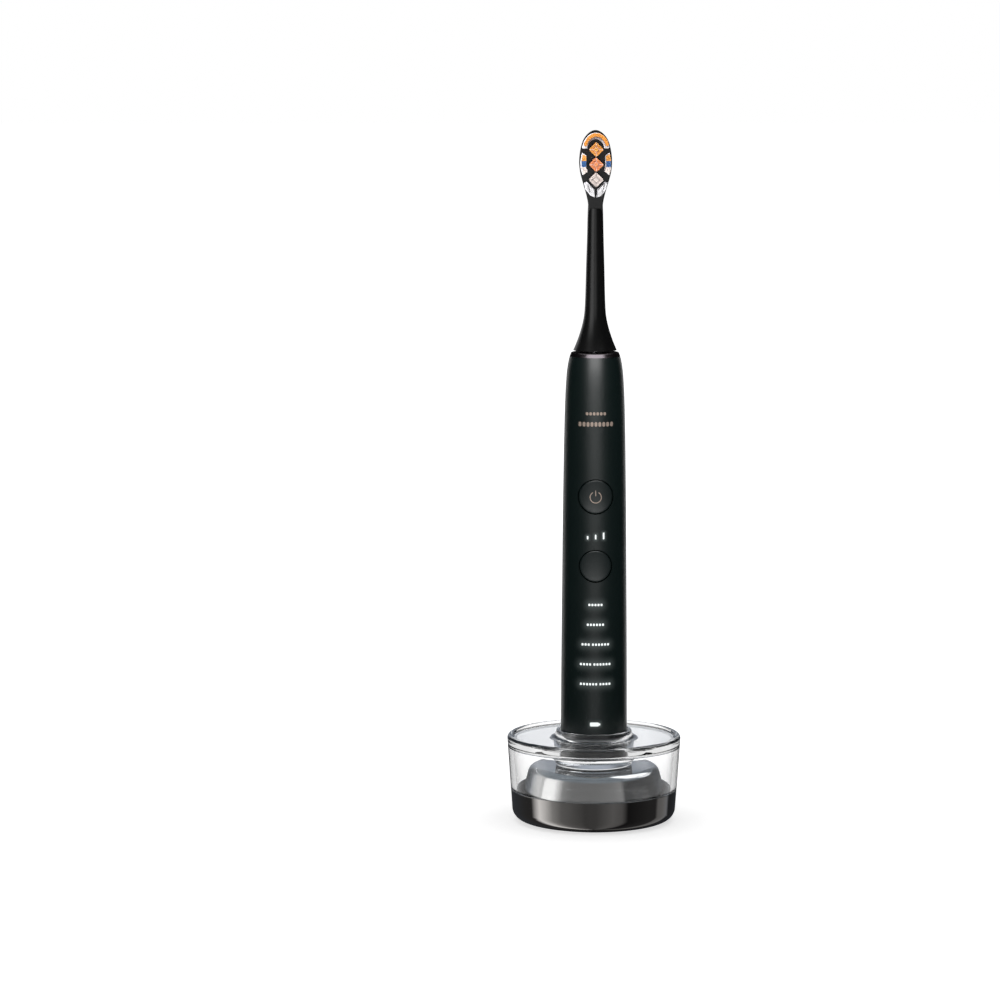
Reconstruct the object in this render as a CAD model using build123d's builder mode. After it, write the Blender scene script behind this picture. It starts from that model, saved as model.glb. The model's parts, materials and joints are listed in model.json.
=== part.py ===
from build123d import *
import os
from math import cos, radians, sqrt, tan

# Sonic toothbrush standing in its charging cup, in millimetres. +Z runs up the handle, -Y faces
# the user, and the origin is the centre of the charger's foot ring, on the surface it stands on.

# ---- Charger base --------------------------------------------------------------------------
base_radius = 34.3          # band at its top edge
base_height = 13.6          # seat of the clear cover
base_draft = 0.9            # how much narrower the band is near its foot
base_foot_round = 5.0       # round between the band's side and its underside
base_wall = 2.2
base_inner_round = 0.6
foot_proud = 0.5            # the rubber ring holds the band this far off the table
rim_width = 1.2             # lip round the ledge that the cover drops over
ledge_depth = 1.1           # ledge below the cover's seat
ledge_thickness = 1.2
ledge_width = 5.0           # from the band's side to the foot of the dome
dome_height = 23.1          # plateau above the table
dome_slope = 14.5           # degrees off vertical
dome_round = 3.6
dome_wall = 1.8
flange_width = 2.5          # dome's clamping flange under the ledge
plate_thickness = 2.0
plate_shoulder = 1.2        # inner shoulder of the band that stops the bottom plate
foot_ring_width = 3.0
foot_ring_depth = 0.8       # part of the ring that sits in its groove
post_radius = 2.5
post_inset = 5.8            # screw posts inside the dome's upper corner
screw_radius = 1.0
screw_head_radius = 2.0
screw_head_height = 1.0
screw_bite = 8.0            # length of screw inside its post
standoff_height = 3.5
standoff_radius = 1.6
standoff_circle = 11.0
board_thickness = 1.2
board_post_gap = 1.0
bobbin_inset = 1.0          # bobbin inside the board's edge
bobbin_hub = 8.0
bobbin_wall = 1.4
bobbin_flange = 1.0
coil_roof_gap = 0.6         # air between the bobbin and the dome's roof
inlet_bore = 1.6            # radius of the opening for the supply cable
inlet_wall = 1.0
inlet_height = 6.9
inlet_flange = 0.5
inlet_flange_depth = 1.4

# ---- Clear cover with the standing cup ------------------------------------------------------
cover_wall = 2.3
cover_flare = 1.6           # the cover is this much wider at its rim
cover_height = 36.0
cover_top_thickness = 2.7
rim_drop = 1.0              # the top disc lies this far below the rim
rim_land = 2.4
collar_height = 3.1         # lip round the handle above the top disc
collar_wall = 1.2
cup_clearance = 0.5         # radial room round the handle
cup_floor = 5.6             # thick clear floor of the cup
cup_wall_low = 1.5
cup_wall_high = 2.6
cup_gap = 0.3               # cup above the dome's plateau

# ---- Handle ---------------------------------------------------------------------------------
handle_length = 163.7
handle_radius = 13.7        # at the bottom
handle_top_radius = 10.3
handle_wall = 1.5
handle_top_wall = 2.2
handle_foot_round = 1.2
# Outline from the bottom to the top: share of the length, share of the taper still to come.
handle_outline = [(0.19, 0.962), (0.434, 0.868), (0.678, 0.75), (0.839, 0.612), (0.941, 0.418),
                  (0.980, 0.215)]
power_below_top = 56.5      # centre of the power button below the handle's top
mode_below_power = 28.5
power_hole = 7.25
mode_hole = 6.8
button_groove = 0.4
button_flange = 0.55        # flange wider than its hole
button_flange_thickness = 0.6
button_travel = 0.4
flange_shell_gap = 0.3      # flange behind the shell's wall
press_gap = 0.2             # left between flange and switch at full press
plunger_radius = 1.2
ring_height = 1.6           # bright trim ring at the neck
ring_taper = 0.6
seal_hole = 5.0

# ---- Inside the handle ----------------------------------------------------------------------
cap_thickness = 3.7
cap_recess = 0.3
o_ring_radius = 0.5
receiver_height = 6.0
receiver_core = 4.0
receiver_radius = 10.0
plate_gap = 0.25            # chassis plates to the shell
chassis_plate = 1.5
rail_width = 0.9
rail_ahead = 0.6            # chassis rails stand this far in front of the board
rail_depth = 7.2
handle_board_thickness = 1.0
switch_width = 6.0
switch_height = 1.4
battery_radius = 6.9
battery_length = 50.0
battery_gap = 0.8           # between battery and control board
contact_thickness = 0.8
motor_radius = 9.0
motor_length = 31.0
motor_below_top = 8.7
motor_wall = 0.8
motor_plate = 1.5
bearing_radius = 4.0
bearing_length = 3.0
shaft_radius = 1.75
shaft_clearance = 0.05
shaft_reach = 21.3          # free end above the handle's top
shaft_key = 1.25            # flat of the keyed end, from the axis
rotor_radius = 4.7
rotor_length = 20.0
rotor_hub = 3.0
air_gap = 0.5
stator_length = 12.0
winding_length = 4.2
damper_length = 3.0

# ---- Brush head -----------------------------------------------------------------------------
neck_gap = 2.5              # neck's lower edge above the handle's top
neck_radius = 8.9
neck_length = 56.8          # up to the narrowest place
neck_waist = 3.12
# Outline of the neck: share of its length, share of the taper still to come.
neck_outline = [(0.07, 0.713), (0.158, 0.431), (0.245, 0.247), (0.331, 0.18), (0.59, 0.109),
                (0.847, 0.036)]
head_length = 32.7          # from the waist to the tip
head_half_width = 6.65
# Outline of the head: share of its length, share of the widening over the waist.
head_outline = [(0.18, 0.13), (0.33, 0.52), (0.48, 0.89), (0.597, 1.0), (0.777, 0.83), (0.927, 0.25)]
head_front = 2.2            # platform in front of the axis
head_back = 2.6
head_back_round = 1.5
head_front_round = 0.35
pocket_depth = 1.0
carrier_proud = 0.3
carrier_fit = 0.05
arc_bristle = 7.6
centre_bristle = 6.4
side_bristle = 7.0
heel_bristle = 6.0
socket_mouth = 7.6
socket_neck = 3.2
socket_cone = 10.8
socket_length = 4.0
socket_wall_gap = 0.1


def half_section(points, rounds=()):
    """Half section beside the z axis from (radius, height) corners, some of them rounded."""
    with BuildSketch(Plane.XZ) as half:
        with BuildLine():
            Polyline(*points, close=True)
        make_face()
        for corner, radius in rounds:
            fillet(half.vertices().sort_by_distance(corner)[:1], radius)
    return half.sketch


def turned(points, rounds=()):
    """A solid of revolution from its half section."""
    with BuildPart() as body:
        revolve(half_section(points, rounds), Axis.Z)
    return body


def ring(inner, outer, low, high):
    """A plain ring or disc about the z axis."""
    with BuildPart() as body:
        with BuildSketch(Plane.XY.offset(low)):
            Circle(outer)
            if inner:
                Circle(inner, mode=Mode.SUBTRACT)
        extrude(amount=high - low)
    return body


def save(body, name):
    """Label a finished piece and write its file."""
    body.part.label = name
    export_step(body.part, f"parts/{name}.step")


os.makedirs("parts", exist_ok=True)

# ---- Charger base ---------------------------------------------------------------------------
ledge = base_height - ledge_depth
ledge_under = ledge - ledge_thickness
dome_foot_radius = base_radius - ledge_width
rim_inner = base_radius - rim_width
band_inner = base_radius - base_wall
foot_radius = base_radius - base_draft
plate_opening = foot_radius - base_foot_round + 0.3
plate_top = foot_proud + plate_thickness
shoulder_top = plate_top + plate_shoulder
ledge_inner = dome_foot_radius + 0.15

with BuildPart() as base_band:
    revolve(half_section([
        (plate_opening, foot_proud), (foot_radius, foot_proud), (base_radius, base_height),
        (rim_inner, base_height), (rim_inner, ledge), (ledge_inner, ledge),
        (ledge_inner, ledge_under), (band_inner, ledge_under),
        (foot_radius - base_wall, shoulder_top), (plate_opening - plate_shoulder, shoulder_top),
        (plate_opening - plate_shoulder, plate_top), (plate_opening, plate_top)],
        rounds=[((foot_radius, foot_proud), base_foot_round),
                ((foot_radius - base_wall, shoulder_top), base_inner_round),
                ((base_radius, base_height), 0.35)]), Axis.Z)
    with BuildSketch(Plane.XZ.offset(-base_radius - 1)):
        with Locations((0, inlet_height)):
            Circle(inlet_bore + inlet_wall + carrier_fit)
    extrude(amount=base_radius / 2, mode=Mode.SUBTRACT)
save(base_band, "base_band")

dome_corner = dome_foot_radius - (dome_height - ledge) * tan(radians(dome_slope))
dome_roof = dome_height - dome_wall
post_circle = dome_corner - post_inset
dome_skin = dome_wall / cos(radians(dome_slope))

with BuildPart() as dome_cover:
    revolve(half_section([
        (0, dome_height), (dome_corner, dome_height), (dome_foot_radius, ledge),
        (dome_foot_radius, ledge_under), (dome_foot_radius + flange_width, ledge_under),
        (dome_foot_radius + flange_width, ledge_under - ledge_thickness),
        (dome_foot_radius - dome_skin, ledge_under - ledge_thickness),
        (dome_foot_radius - dome_skin, ledge_under), (dome_corner - dome_skin, dome_roof),
        (0, dome_roof)],
        rounds=[((dome_corner, dome_height), dome_round),
                ((dome_corner - dome_skin, dome_roof), dome_round - dome_wall)]), Axis.Z)
    with BuildSketch(Plane.XY.offset(plate_top)):
        with PolarLocations(post_circle, 3, start_angle=90):
            Circle(post_radius)
    extrude(amount=dome_roof - plate_top + dome_wall / 2)
    with BuildSketch(Plane.XY.offset(plate_top)):
        with PolarLocations(post_circle, 3, start_angle=90):
            Circle(screw_radius + shaft_clearance)
    extrude(amount=screw_bite + 1, mode=Mode.SUBTRACT)
save(dome_cover, "dome_cover")

groove_outer = plate_opening - 1.6
groove_inner = groove_outer - foot_ring_width
with BuildPart() as bottom_plate:
    with BuildSketch(Plane.XY.offset(foot_proud)):
        Circle(plate_opening - 0.1)
    extrude(amount=plate_thickness)
    with BuildSketch(Plane.XY.offset(foot_proud)):
        Circle(groove_outer + 0.1)
        Circle(groove_inner - 0.1, mode=Mode.SUBTRACT)
    extrude(amount=foot_ring_depth, mode=Mode.SUBTRACT)
    for radius, depth in ((screw_radius + 0.2, plate_thickness),
                          (screw_head_radius + 0.2, screw_head_height + 0.1)):
        with BuildSketch(Plane.XY.offset(foot_proud)):
            with PolarLocations(post_circle, 3, start_angle=90):
                Circle(radius)
        extrude(amount=depth, mode=Mode.SUBTRACT)
    with BuildSketch(Plane.XY.offset(plate_top)):
        with PolarLocations(standoff_circle, 3, start_angle=30):
            Circle(standoff_radius)
    extrude(amount=standoff_height)
save(bottom_plate, "bottom_plate")

save(ring(groove_inner, groove_outer, 0, foot_proud + foot_ring_depth), "foot_ring")

head_top = foot_proud + screw_head_height + 0.1
with BuildPart() as base_screws:
    with BuildSketch(Plane.XY.offset(head_top - screw_head_height)):
        with PolarLocations(post_circle, 3, start_angle=90):
            Circle(screw_head_radius)
    extrude(amount=screw_head_height)
    with BuildSketch(Plane.XY.offset(head_top)):
        with PolarLocations(post_circle, 3, start_angle=90):
            Circle(screw_radius)
    extrude(amount=plate_top - head_top + screw_bite)
    with BuildSketch(Plane.XY.offset(head_top - screw_head_height)):
        with PolarLocations(post_circle, 3, start_angle=90):
            Rectangle(screw_head_radius * 1.3, screw_head_radius * 0.25)
            Rectangle(screw_head_radius * 0.25, screw_head_radius * 1.3)
    extrude(amount=screw_head_height * 0.6, mode=Mode.SUBTRACT)
save(base_screws, "base_screws")

board_low = plate_top + standoff_height
board_high = board_low + board_thickness
charger_board_radius = post_circle - post_radius - board_post_gap
bobbin_radius = charger_board_radius - bobbin_inset
save(ring(0, charger_board_radius, board_low, board_high), "charger_board")

with BuildPart() as charger_components:
    for place, size, height in (((-5, -4), (5, 4), 2.2), ((5, -4), (4, 4), 1.4), ((4.5, 5), (3, 5), 1.8)):
        with BuildSketch(Plane.XY.offset(board_low)):
            with Locations(place):
                Rectangle(*size)
        extrude(amount=-height)
    with BuildSketch(Plane.XY.offset(board_low)):
        with Locations((-4, 5)):
            Circle(2.5)
    extrude(amount=-3.0)
save(charger_components, "charger_components")

bobbin_top = dome_roof - coil_roof_gap
winding_low = board_high + bobbin_flange
winding_high = bobbin_top - bobbin_flange
save(turned([
    (bobbin_hub - bobbin_wall, board_high), (bobbin_radius, board_high), (bobbin_radius, winding_low),
    (bobbin_hub, winding_low), (bobbin_hub, winding_high), (bobbin_radius, winding_high),
    (bobbin_radius, bobbin_top), (bobbin_hub - bobbin_wall, bobbin_top)]), "coil_bobbin")
save(ring(bobbin_hub + 0.05, bobbin_radius - 0.5, winding_low, winding_high), "charging_coil")
save(ring(0, bobbin_hub - bobbin_wall - 0.1, board_high, bobbin_top), "charging_ferrite")

inlet_inner = sqrt((band_inner - base_draft) ** 2 - (inlet_bore + inlet_wall + inlet_flange) ** 2) - 0.2
inlet_radius = inlet_bore + inlet_wall
with BuildPart() as cable_inlet:
    with BuildSketch(Plane.XZ.offset(-inlet_inner)):
        with Locations((0, inlet_height)):
            Circle(inlet_radius)
    extrude(amount=-(base_radius + 0.3 - inlet_inner))
    with BuildSketch(Plane.XZ.offset(-inlet_inner)):
        with Locations((0, inlet_height)):
            Circle(inlet_radius + inlet_flange)
    extrude(amount=inlet_flange_depth)
    with BuildSketch(Plane.XZ.offset(-inlet_inner + inlet_flange_depth)):
        with Locations((0, inlet_height)):
            Circle(inlet_bore)
    extrude(amount=-(base_radius + 1 - inlet_inner + inlet_flange_depth), mode=Mode.SUBTRACT)
save(cable_inlet, "cable_inlet")

# ---- Clear cover ----------------------------------------------------------------------------
cover_radius = base_radius + cover_flare
disc_top = cover_height - rim_drop
disc_under = disc_top - cover_top_thickness
collar_top = disc_top + collar_height
cup_radius = handle_radius + cup_clearance
cup_bottom = dome_height + cup_gap
handle_bottom = cup_bottom + cup_floor
spigot_outer = rim_inner - 0.3
with BuildPart() as clear_cover:
    revolve(half_section([
        (base_radius, base_height), (cover_radius, cover_height), (cover_radius - rim_land, cover_height),
        (cover_radius - rim_land - 0.5, disc_top), (cup_radius + collar_wall + 0.8, disc_top),
        (cup_radius + collar_wall, collar_top), (cup_radius, collar_top), (cup_radius, handle_bottom),
        (0, handle_bottom), (0, cup_bottom), (cup_radius + cup_wall_low, cup_bottom),
        (cup_radius + cup_wall_high, disc_under), (cover_radius - cover_wall, disc_under),
        (base_radius - cover_wall, ledge + 0.3), (spigot_outer, ledge + 0.3),
        (spigot_outer, base_height)],
        rounds=[((cover_radius, cover_height), 1.5), ((cover_radius - rim_land, cover_height), 0.5),
                ((cover_radius - rim_land - 0.5, disc_top), 0.4),
                ((cup_radius + collar_wall + 0.8, disc_top), 2.2),
                ((cup_radius + collar_wall, collar_top), 0.5), ((cup_radius, collar_top), 0.4),
                ((cup_radius, handle_bottom), 0.8), ((cup_radius + cup_wall_low, cup_bottom), 0.9),
                ((cup_radius + cup_wall_high, disc_under), 1.8),
                ((cover_radius - cover_wall, disc_under), 1.6)]), Axis.Z)
save(clear_cover, "clear_cover")

# ---- Handle shell and what closes it --------------------------------------------------------
handle_top = handle_bottom + handle_length
taper = handle_radius - handle_top_radius


def handle_points(inset):
    """Points of the handle's outline between its ends, moved inwards by inset."""
    return [(handle_top_radius + share * taper - inset, handle_bottom + part * handle_length)
            for part, share in handle_outline]


def cavity_radius(height):
    """Radius of the cavity at a height, on the straight line between the outline's points."""
    corners = [(handle_radius - handle_wall, handle_bottom), *handle_points(handle_wall),
               (handle_top_radius - handle_wall, handle_top)]
    for (low_r, low_z), (high_r, high_z) in zip(corners, corners[1:]):
        if height <= high_z:
            return low_r + (high_r - low_r) * (height - low_z) / (high_z - low_z)
    return handle_top_radius - handle_wall


with BuildPart() as handle_form:
    with BuildSketch(Plane.XZ):
        with BuildLine():
            Line((0, handle_bottom), (handle_radius - handle_foot_round, handle_bottom))
            JernArc((handle_radius - handle_foot_round, handle_bottom), (1, 0), handle_foot_round, 90)
            Spline((handle_radius, handle_bottom + handle_foot_round), *handle_points(0),
                   (handle_top_radius, handle_top))
            Polyline((handle_top_radius, handle_top), (0, handle_top), (0, handle_bottom))
        make_face()
    revolve(axis=Axis.Z)

cavity_top = handle_top - handle_top_wall
power_z = handle_top - power_below_top
mode_z = power_z - mode_below_power


def flange_face(height, hole):
    """How far in front of the axis a button's flange can lie behind the shell's wall."""
    reach = hole + button_flange
    return sqrt(cavity_radius(height + reach) ** 2 - reach ** 2) - flange_shell_gap


# Height of each button, radius of its hole, and the front of its flange.
buttons = {name: (height, hole, flange_face(height, hole))
           for name, height, hole in (("power", power_z, power_hole), ("mode", mode_z, mode_hole))}
flange_back = min(front for height, hole, front in buttons.values()) - button_flange_thickness
board_front = flange_back - button_travel - press_gap - switch_height
with BuildPart() as handle_shell:
    add(handle_form.part)
    with BuildSketch(Plane.XZ):
        with BuildLine():
            Spline((handle_radius - handle_wall, handle_bottom), *handle_points(handle_wall),
                   (cavity_radius(cavity_top), cavity_top))
            Polyline((cavity_radius(cavity_top), cavity_top), (seal_hole, cavity_top),
                     (seal_hole, handle_top + 1), (0, handle_top + 1), (0, handle_bottom),
                     (handle_radius - handle_wall, handle_bottom))
        make_face()
    revolve(axis=Axis.Z, mode=Mode.SUBTRACT)
    for height, hole, front in buttons.values():
        with BuildSketch(Plane.XZ.offset(handle_radius + 1)):
            with Locations((0, height)):
                Circle(hole)
        extrude(amount=-handle_radius, mode=Mode.SUBTRACT)
save(handle_shell, "handle_shell")

save(turned([
    (handle_top_radius - 4, handle_top), (handle_top_radius, handle_top),
    (handle_top_radius - ring_taper, handle_top + ring_height),
    (handle_top_radius - 4, handle_top + ring_height)],
    rounds=[((handle_top_radius - ring_taper, handle_top + ring_height), 0.5)]), "neck_ring")

seal_bore = shaft_radius + shaft_clearance
save(turned([
    (seal_bore, cavity_top - 1.2), (seal_hole + 2.5, cavity_top - 1.2), (seal_hole + 2.5, cavity_top),
    (seal_hole - 0.2, cavity_top), (seal_hole - 0.2, handle_top), (seal_bore + 0.9, handle_top + ring_height),
    (seal_bore, handle_top + ring_height)]), "shaft_seal")

cap_low = handle_bottom + cap_recess
cap_high = cap_low + cap_thickness
cap_radius = cavity_radius(cap_high) - 0.1
groove_depth = 2 * o_ring_radius + 0.1
o_ring_height = (cap_low + cap_high) / 2
save(turned([
    (0, cap_low), (cap_radius, cap_low), (cap_radius, o_ring_height - groove_depth / 2),
    (cap_radius - groove_depth, o_ring_height - groove_depth / 2),
    (cap_radius - groove_depth, o_ring_height + groove_depth / 2),
    (cap_radius, o_ring_height + groove_depth / 2), (cap_radius, cap_high), (0, cap_high)],
    rounds=[((cap_radius, cap_low), 0.5)]), "handle_end_cap")
with BuildPart() as end_cap_o_ring:
    with Locations((0, 0, o_ring_height)):
        Torus(cap_radius - o_ring_radius, o_ring_radius)
save(end_cap_o_ring, "end_cap_o_ring")

# ---- Buttons --------------------------------------------------------------------------------
plunger_tip = board_front + switch_height / 2 + 0.1
for name, (height, hole, front) in buttons.items():
    with BuildPart() as button:
        with BuildSketch(Plane.XZ.offset(front)):
            with Locations((0, height)):
                Circle(hole - button_groove)
        extrude(amount=handle_radius)
        add(handle_form.part, mode=Mode.INTERSECT)
        with BuildSketch(Plane.XZ.offset(front)):
            with Locations((0, height)):
                Circle(hole + button_flange)
        extrude(amount=-button_flange_thickness)
    save(button, f"{name}_button")
    with BuildPart() as plunger:
        with BuildSketch(Plane.XZ.offset(front - button_flange_thickness)):
            with Locations((0, height)):
                Circle(plunger_radius)
        extrude(amount=plunger_tip + button_flange_thickness - front)
    save(plunger, f"{name}_plunger")

# ---- Electronics and battery ----------------------------------------------------------------
receiver_low = cap_high
receiver_high = receiver_low + receiver_height
save(ring(receiver_core + 0.1, receiver_radius, receiver_low, receiver_high), "receiver_coil")
save(ring(0, receiver_core, receiver_low, receiver_high), "receiver_ferrite")

rail_front = board_front + rail_ahead
floor_low = receiver_high + 0.4
floor_high = floor_low + chassis_plate
battery_low = floor_high + contact_thickness
battery_offset = battery_radius + battery_gap + handle_board_thickness - board_front
battery_high = battery_low + battery_length
shelf_low = battery_high + contact_thickness
board_top = power_z + power_hole + 4
roof_low = board_top + 0.5
roof_high = roof_low + chassis_plate
motor_high = handle_top - motor_below_top
motor_low = motor_high - motor_length
rail_half_span = sqrt((cavity_radius(roof_high) - plate_gap) ** 2 - rail_front ** 2) - rail_width
with BuildPart() as inner_chassis:
    for low in (floor_low, shelf_low, roof_low):
        with BuildSketch(Plane.XY.offset(low)) as plate:
            Circle(min(cavity_radius(low), cavity_radius(low + chassis_plate)) - plate_gap)
            if low == shelf_low:
                with Locations((0, -handle_radius - board_front + handle_board_thickness + 0.1)):
                    Rectangle(3 * handle_radius, 2 * handle_radius, mode=Mode.SUBTRACT)
        extrude(amount=chassis_plate)
    for side in (-1, 1):
        with BuildSketch(Plane.XY.offset(floor_low)):
            with Locations((side * (rail_half_span + rail_width / 2), rail_depth / 2 - rail_front)):
                Rectangle(rail_width, rail_depth)
        extrude(amount=roof_high - floor_low)
    with BuildSketch(Plane.XY.offset(roof_low)):
        Circle(motor_radius)
        Circle(motor_radius - 1.5, mode=Mode.SUBTRACT)
    extrude(amount=motor_low - roof_low)
save(inner_chassis, "inner_chassis")

with BuildPart() as control_board:
    with BuildSketch(Plane.XZ.offset(board_front)):
        with Locations((0, (floor_high + board_top) / 2)):
            Rectangle(2 * rail_half_span - 0.2, board_top - floor_high)
    extrude(amount=-handle_board_thickness)
save(control_board, "control_board")

with BuildPart() as tact_switches:
    for height, hole, front in buttons.values():
        with BuildSketch(Plane.XZ.offset(board_front)):
            with Locations((0, height)):
                Rectangle(switch_width, switch_width)
        extrude(amount=switch_height)
        with BuildSketch(Plane.XZ.offset(board_front + 0.1)):
            with Locations((0, height)):
                Circle(plunger_radius + 0.4)
        extrude(amount=switch_height, mode=Mode.SUBTRACT)
save(tact_switches, "tact_switches")

seal_gap = button_travel + 0.1
with BuildPart() as button_seals:
    for height, hole, front in buttons.values():
        with BuildSketch(Plane.XZ.offset(board_front)):
            with Locations((0, height)):
                Circle(switch_width)
                Circle(switch_width - 1.1, mode=Mode.SUBTRACT)
        extrude(amount=front - button_flange_thickness - board_front - seal_gap)
save(button_seals, "button_seals")

bar_z = (power_z + mode_z) / 2 - 1.6
label_step = 8.2
label_top = mode_z - 15.9
label_heights = [label_top - label_step * step for step in range(5)]
gauge_z = floor_high + 1.5
led_size = 1.6
led_depth = 0.9
led_places = [(x, bar_z) for x in (-3.3, 0, 3.3)] + [(0, z) for z in label_heights] + [(0, gauge_z)]
with BuildPart() as indicator_leds:
    with BuildSketch(Plane.XZ.offset(board_front)):
        with Locations(*led_places):
            Rectangle(led_size, led_size)
    extrude(amount=led_depth)
save(indicator_leds, "indicator_leds")

guide_back = board_front + led_depth + 0.3
guide_low = label_heights[-1] - 4
guide_high = label_heights[0] + 4
guide_half = rail_half_span - 0.6
with BuildPart() as light_guide:
    with BuildSketch(Plane.XZ.offset(guide_back)):
        with Locations((0, (guide_low + guide_high) / 2)):
            RectangleRounded(2 * guide_half, guide_high - guide_low, 2)
    extrude(amount=1.4)
    with BuildSketch(Plane.XZ.offset(board_front)):
        with Locations((0, (guide_low + guide_high) / 2)):
            with GridLocations(2 * guide_half - 3, guide_high - guide_low - 3, 2, 2):
                Circle(0.7)
    extrude(amount=led_depth + 0.3)
save(light_guide, "light_guide")

with BuildPart() as battery_cell:
    with BuildSketch(Plane.XY.offset(battery_low)):
        with Locations((0, battery_offset)):
            Circle(battery_radius)
    extrude(amount=battery_length)
save(battery_cell, "battery_cell")

with BuildPart() as battery_contacts:
    for low in (floor_high, battery_high):
        with BuildSketch(Plane.XY.offset(low)):
            with Locations((0, battery_offset)):
                Rectangle(6, 8)
        extrude(amount=contact_thickness)
save(battery_contacts, "battery_contacts")

# ---- Drive ----------------------------------------------------------------------------------
frame_inner = motor_radius - motor_wall
bearing_seat = bearing_radius + 0.05
save(turned([
    (bearing_seat, motor_low), (motor_radius, motor_low), (motor_radius, motor_high),
    (bearing_seat, motor_high), (bearing_seat, motor_high - motor_plate),
    (frame_inner, motor_high - motor_plate), (frame_inner, motor_low + motor_plate),
    (bearing_seat, motor_low + motor_plate)]), "motor_frame")
save(ring(seal_bore, bearing_radius, motor_low, motor_low + bearing_length), "rear_bearing")
save(ring(seal_bore, bearing_radius, motor_high - bearing_length, motor_high), "front_bearing")

motor_middle = (motor_low + motor_high) / 2
stator_low = motor_middle - stator_length / 2
stator_high = motor_middle + stator_length / 2
save(ring(rotor_radius + air_gap, frame_inner - 0.05, stator_low, stator_high), "motor_stator")
with BuildPart() as stator_coils:
    for low in (stator_low - winding_length, stator_high):
        with BuildSketch(Plane.XY.offset(low)):
            Circle(frame_inner - 0.2)
            Circle(rotor_radius + air_gap + 0.2, mode=Mode.SUBTRACT)
        extrude(amount=winding_length)
save(stator_coils, "stator_coils")

with BuildPart() as motor_dampers:
    for low in (motor_low + 1, motor_high - 1 - damper_length):
        with BuildSketch(Plane.XY.offset(low)):
            Circle(cavity_radius(low + damper_length) - 0.1)
            Circle(motor_radius + 0.05, mode=Mode.SUBTRACT)
        extrude(amount=damper_length)
save(motor_dampers, "motor_dampers")
save(ring(seal_bore + 0.2, motor_radius - 1, motor_high, motor_high + 0.8), "centering_spring")

shaft_top = handle_top + shaft_reach
neck_base = handle_top + neck_gap
with BuildPart() as drive_shaft:
    with BuildSketch(Plane.XY.offset(motor_low - 1)):
        Circle(shaft_radius)
    extrude(amount=shaft_top - motor_low + 1)
    with BuildSketch(Plane.XY.offset(neck_base)):
        with Locations((0, shaft_key + shaft_radius)):
            Rectangle(4 * shaft_radius, 2 * shaft_radius)
    extrude(amount=shaft_top - neck_base, mode=Mode.SUBTRACT)
    chamfer(drive_shaft.faces().sort_by(Axis.Z)[-1].edges(), 0.3)
save(drive_shaft, "drive_shaft")

rotor_low = motor_middle - rotor_length / 2
rotor_high = motor_middle + rotor_length / 2
save(ring(shaft_radius + 0.02, rotor_hub, rotor_low, rotor_high), "motor_rotor")
with BuildPart() as rotor_magnets:
    with BuildSketch(Plane.XY.offset(rotor_low)):
        Circle(rotor_radius)
        Circle(rotor_hub + 0.05, mode=Mode.SUBTRACT)
        Rectangle(2.5 * rotor_radius, 0.8, mode=Mode.SUBTRACT)
        Rectangle(0.8, 2.5 * rotor_radius, mode=Mode.SUBTRACT)
    extrude(amount=rotor_length)
save(rotor_magnets, "rotor_magnets")

# ---- Brush head -----------------------------------------------------------------------------
waist_z = neck_base + neck_length
tip_z = waist_z + head_length
neck_points = [(neck_waist + share * (neck_radius - neck_waist), neck_base + part * neck_length)
               for part, share in neck_outline]
head_points = [(neck_waist + share * (head_half_width - neck_waist), waist_z + part * head_length)
               for part, share in head_outline]
widest_z = waist_z + head_outline[3][0] * head_length
cone_top = neck_base + socket_cone
sleeve_top = cone_top + socket_length
bore_top = shaft_top + 2


def mirrored(points):
    """The same (across, up) points on the other side of the z axis, in the same turning sense."""
    return [(-across, up) for across, up in reversed(points)]


def arc_patch(inset):
    """The long curved cluster under the tip, between two ellipses."""
    centre = tip_z - 8.0
    with BuildSketch(Plane.XZ.offset(head_front + carrier_proud)) as patch:
        with Locations((0, centre)):
            Ellipse(0.83 * head_half_width - inset, 7.0 - inset)
            Ellipse(0.53 * head_half_width + inset, 4.4 + inset, mode=Mode.SUBTRACT)
        with Locations((0, centre + 0.7 + inset)):
            Rectangle(3 * head_half_width, 10, align=(Align.CENTER, Align.MIN), mode=Mode.INTERSECT)
    return patch.sketch


def side_patches(inset):
    """The two clusters along the widest part of the head."""
    wide = head_half_width
    corners = [(0.93 * wide, widest_z + 0.9), (0.84 * wide, widest_z + 4.1), (0.58 * wide, widest_z + 3.0),
               (0.58 * wide, widest_z - 1.7), (0.50 * wide, widest_z - 3.3), (0.80 * wide, widest_z - 4.9),
               (0.92 * wide, widest_z - 2.4)]
    with BuildSketch(Plane.XZ.offset(head_front + carrier_proud)) as patch:
        with BuildLine():
            Polyline(*corners, close=True)
        make_face()
        with BuildLine():
            Polyline(*mirrored(corners), close=True)
        make_face()
        offset(amount=-inset)
    return patch.sketch


def heel_patches(inset):
    """The two wedge clusters at the foot of the head."""
    corners = [(0.71, 6.4), (0.54, 6.9), (0.09, 3.7), (0.06, 0.6), (0.32, 1.3), (0.62, 3.7)]
    points = [(across * head_half_width, waist_z + 5.0 + up) for across, up in corners]
    with BuildSketch(Plane.XZ.offset(head_front + carrier_proud)) as patch:
        with BuildLine():
            Polyline(*points, close=True)
        make_face()
        with BuildLine():
            Polyline(*mirrored(points), close=True)
        make_face()
        offset(amount=-inset)
    return patch.sketch


diamond_half = 3.0
diamond_pitch = 6.1
diamond_heights = {"upper": widest_z + 5.6, "middle": widest_z - 0.5, "lower": widest_z - 6.6}


def diamond(height, inset):
    """One of the square clusters that stand on a corner along the middle of the head."""
    with BuildSketch(Plane.XZ.offset(head_front + carrier_proud)) as patch:
        with Locations((0, height)):
            RectangleRounded(*(2 * [(diamond_half - inset) * sqrt(2)]), 0.5, rotation=45)
    return patch.sketch


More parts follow.
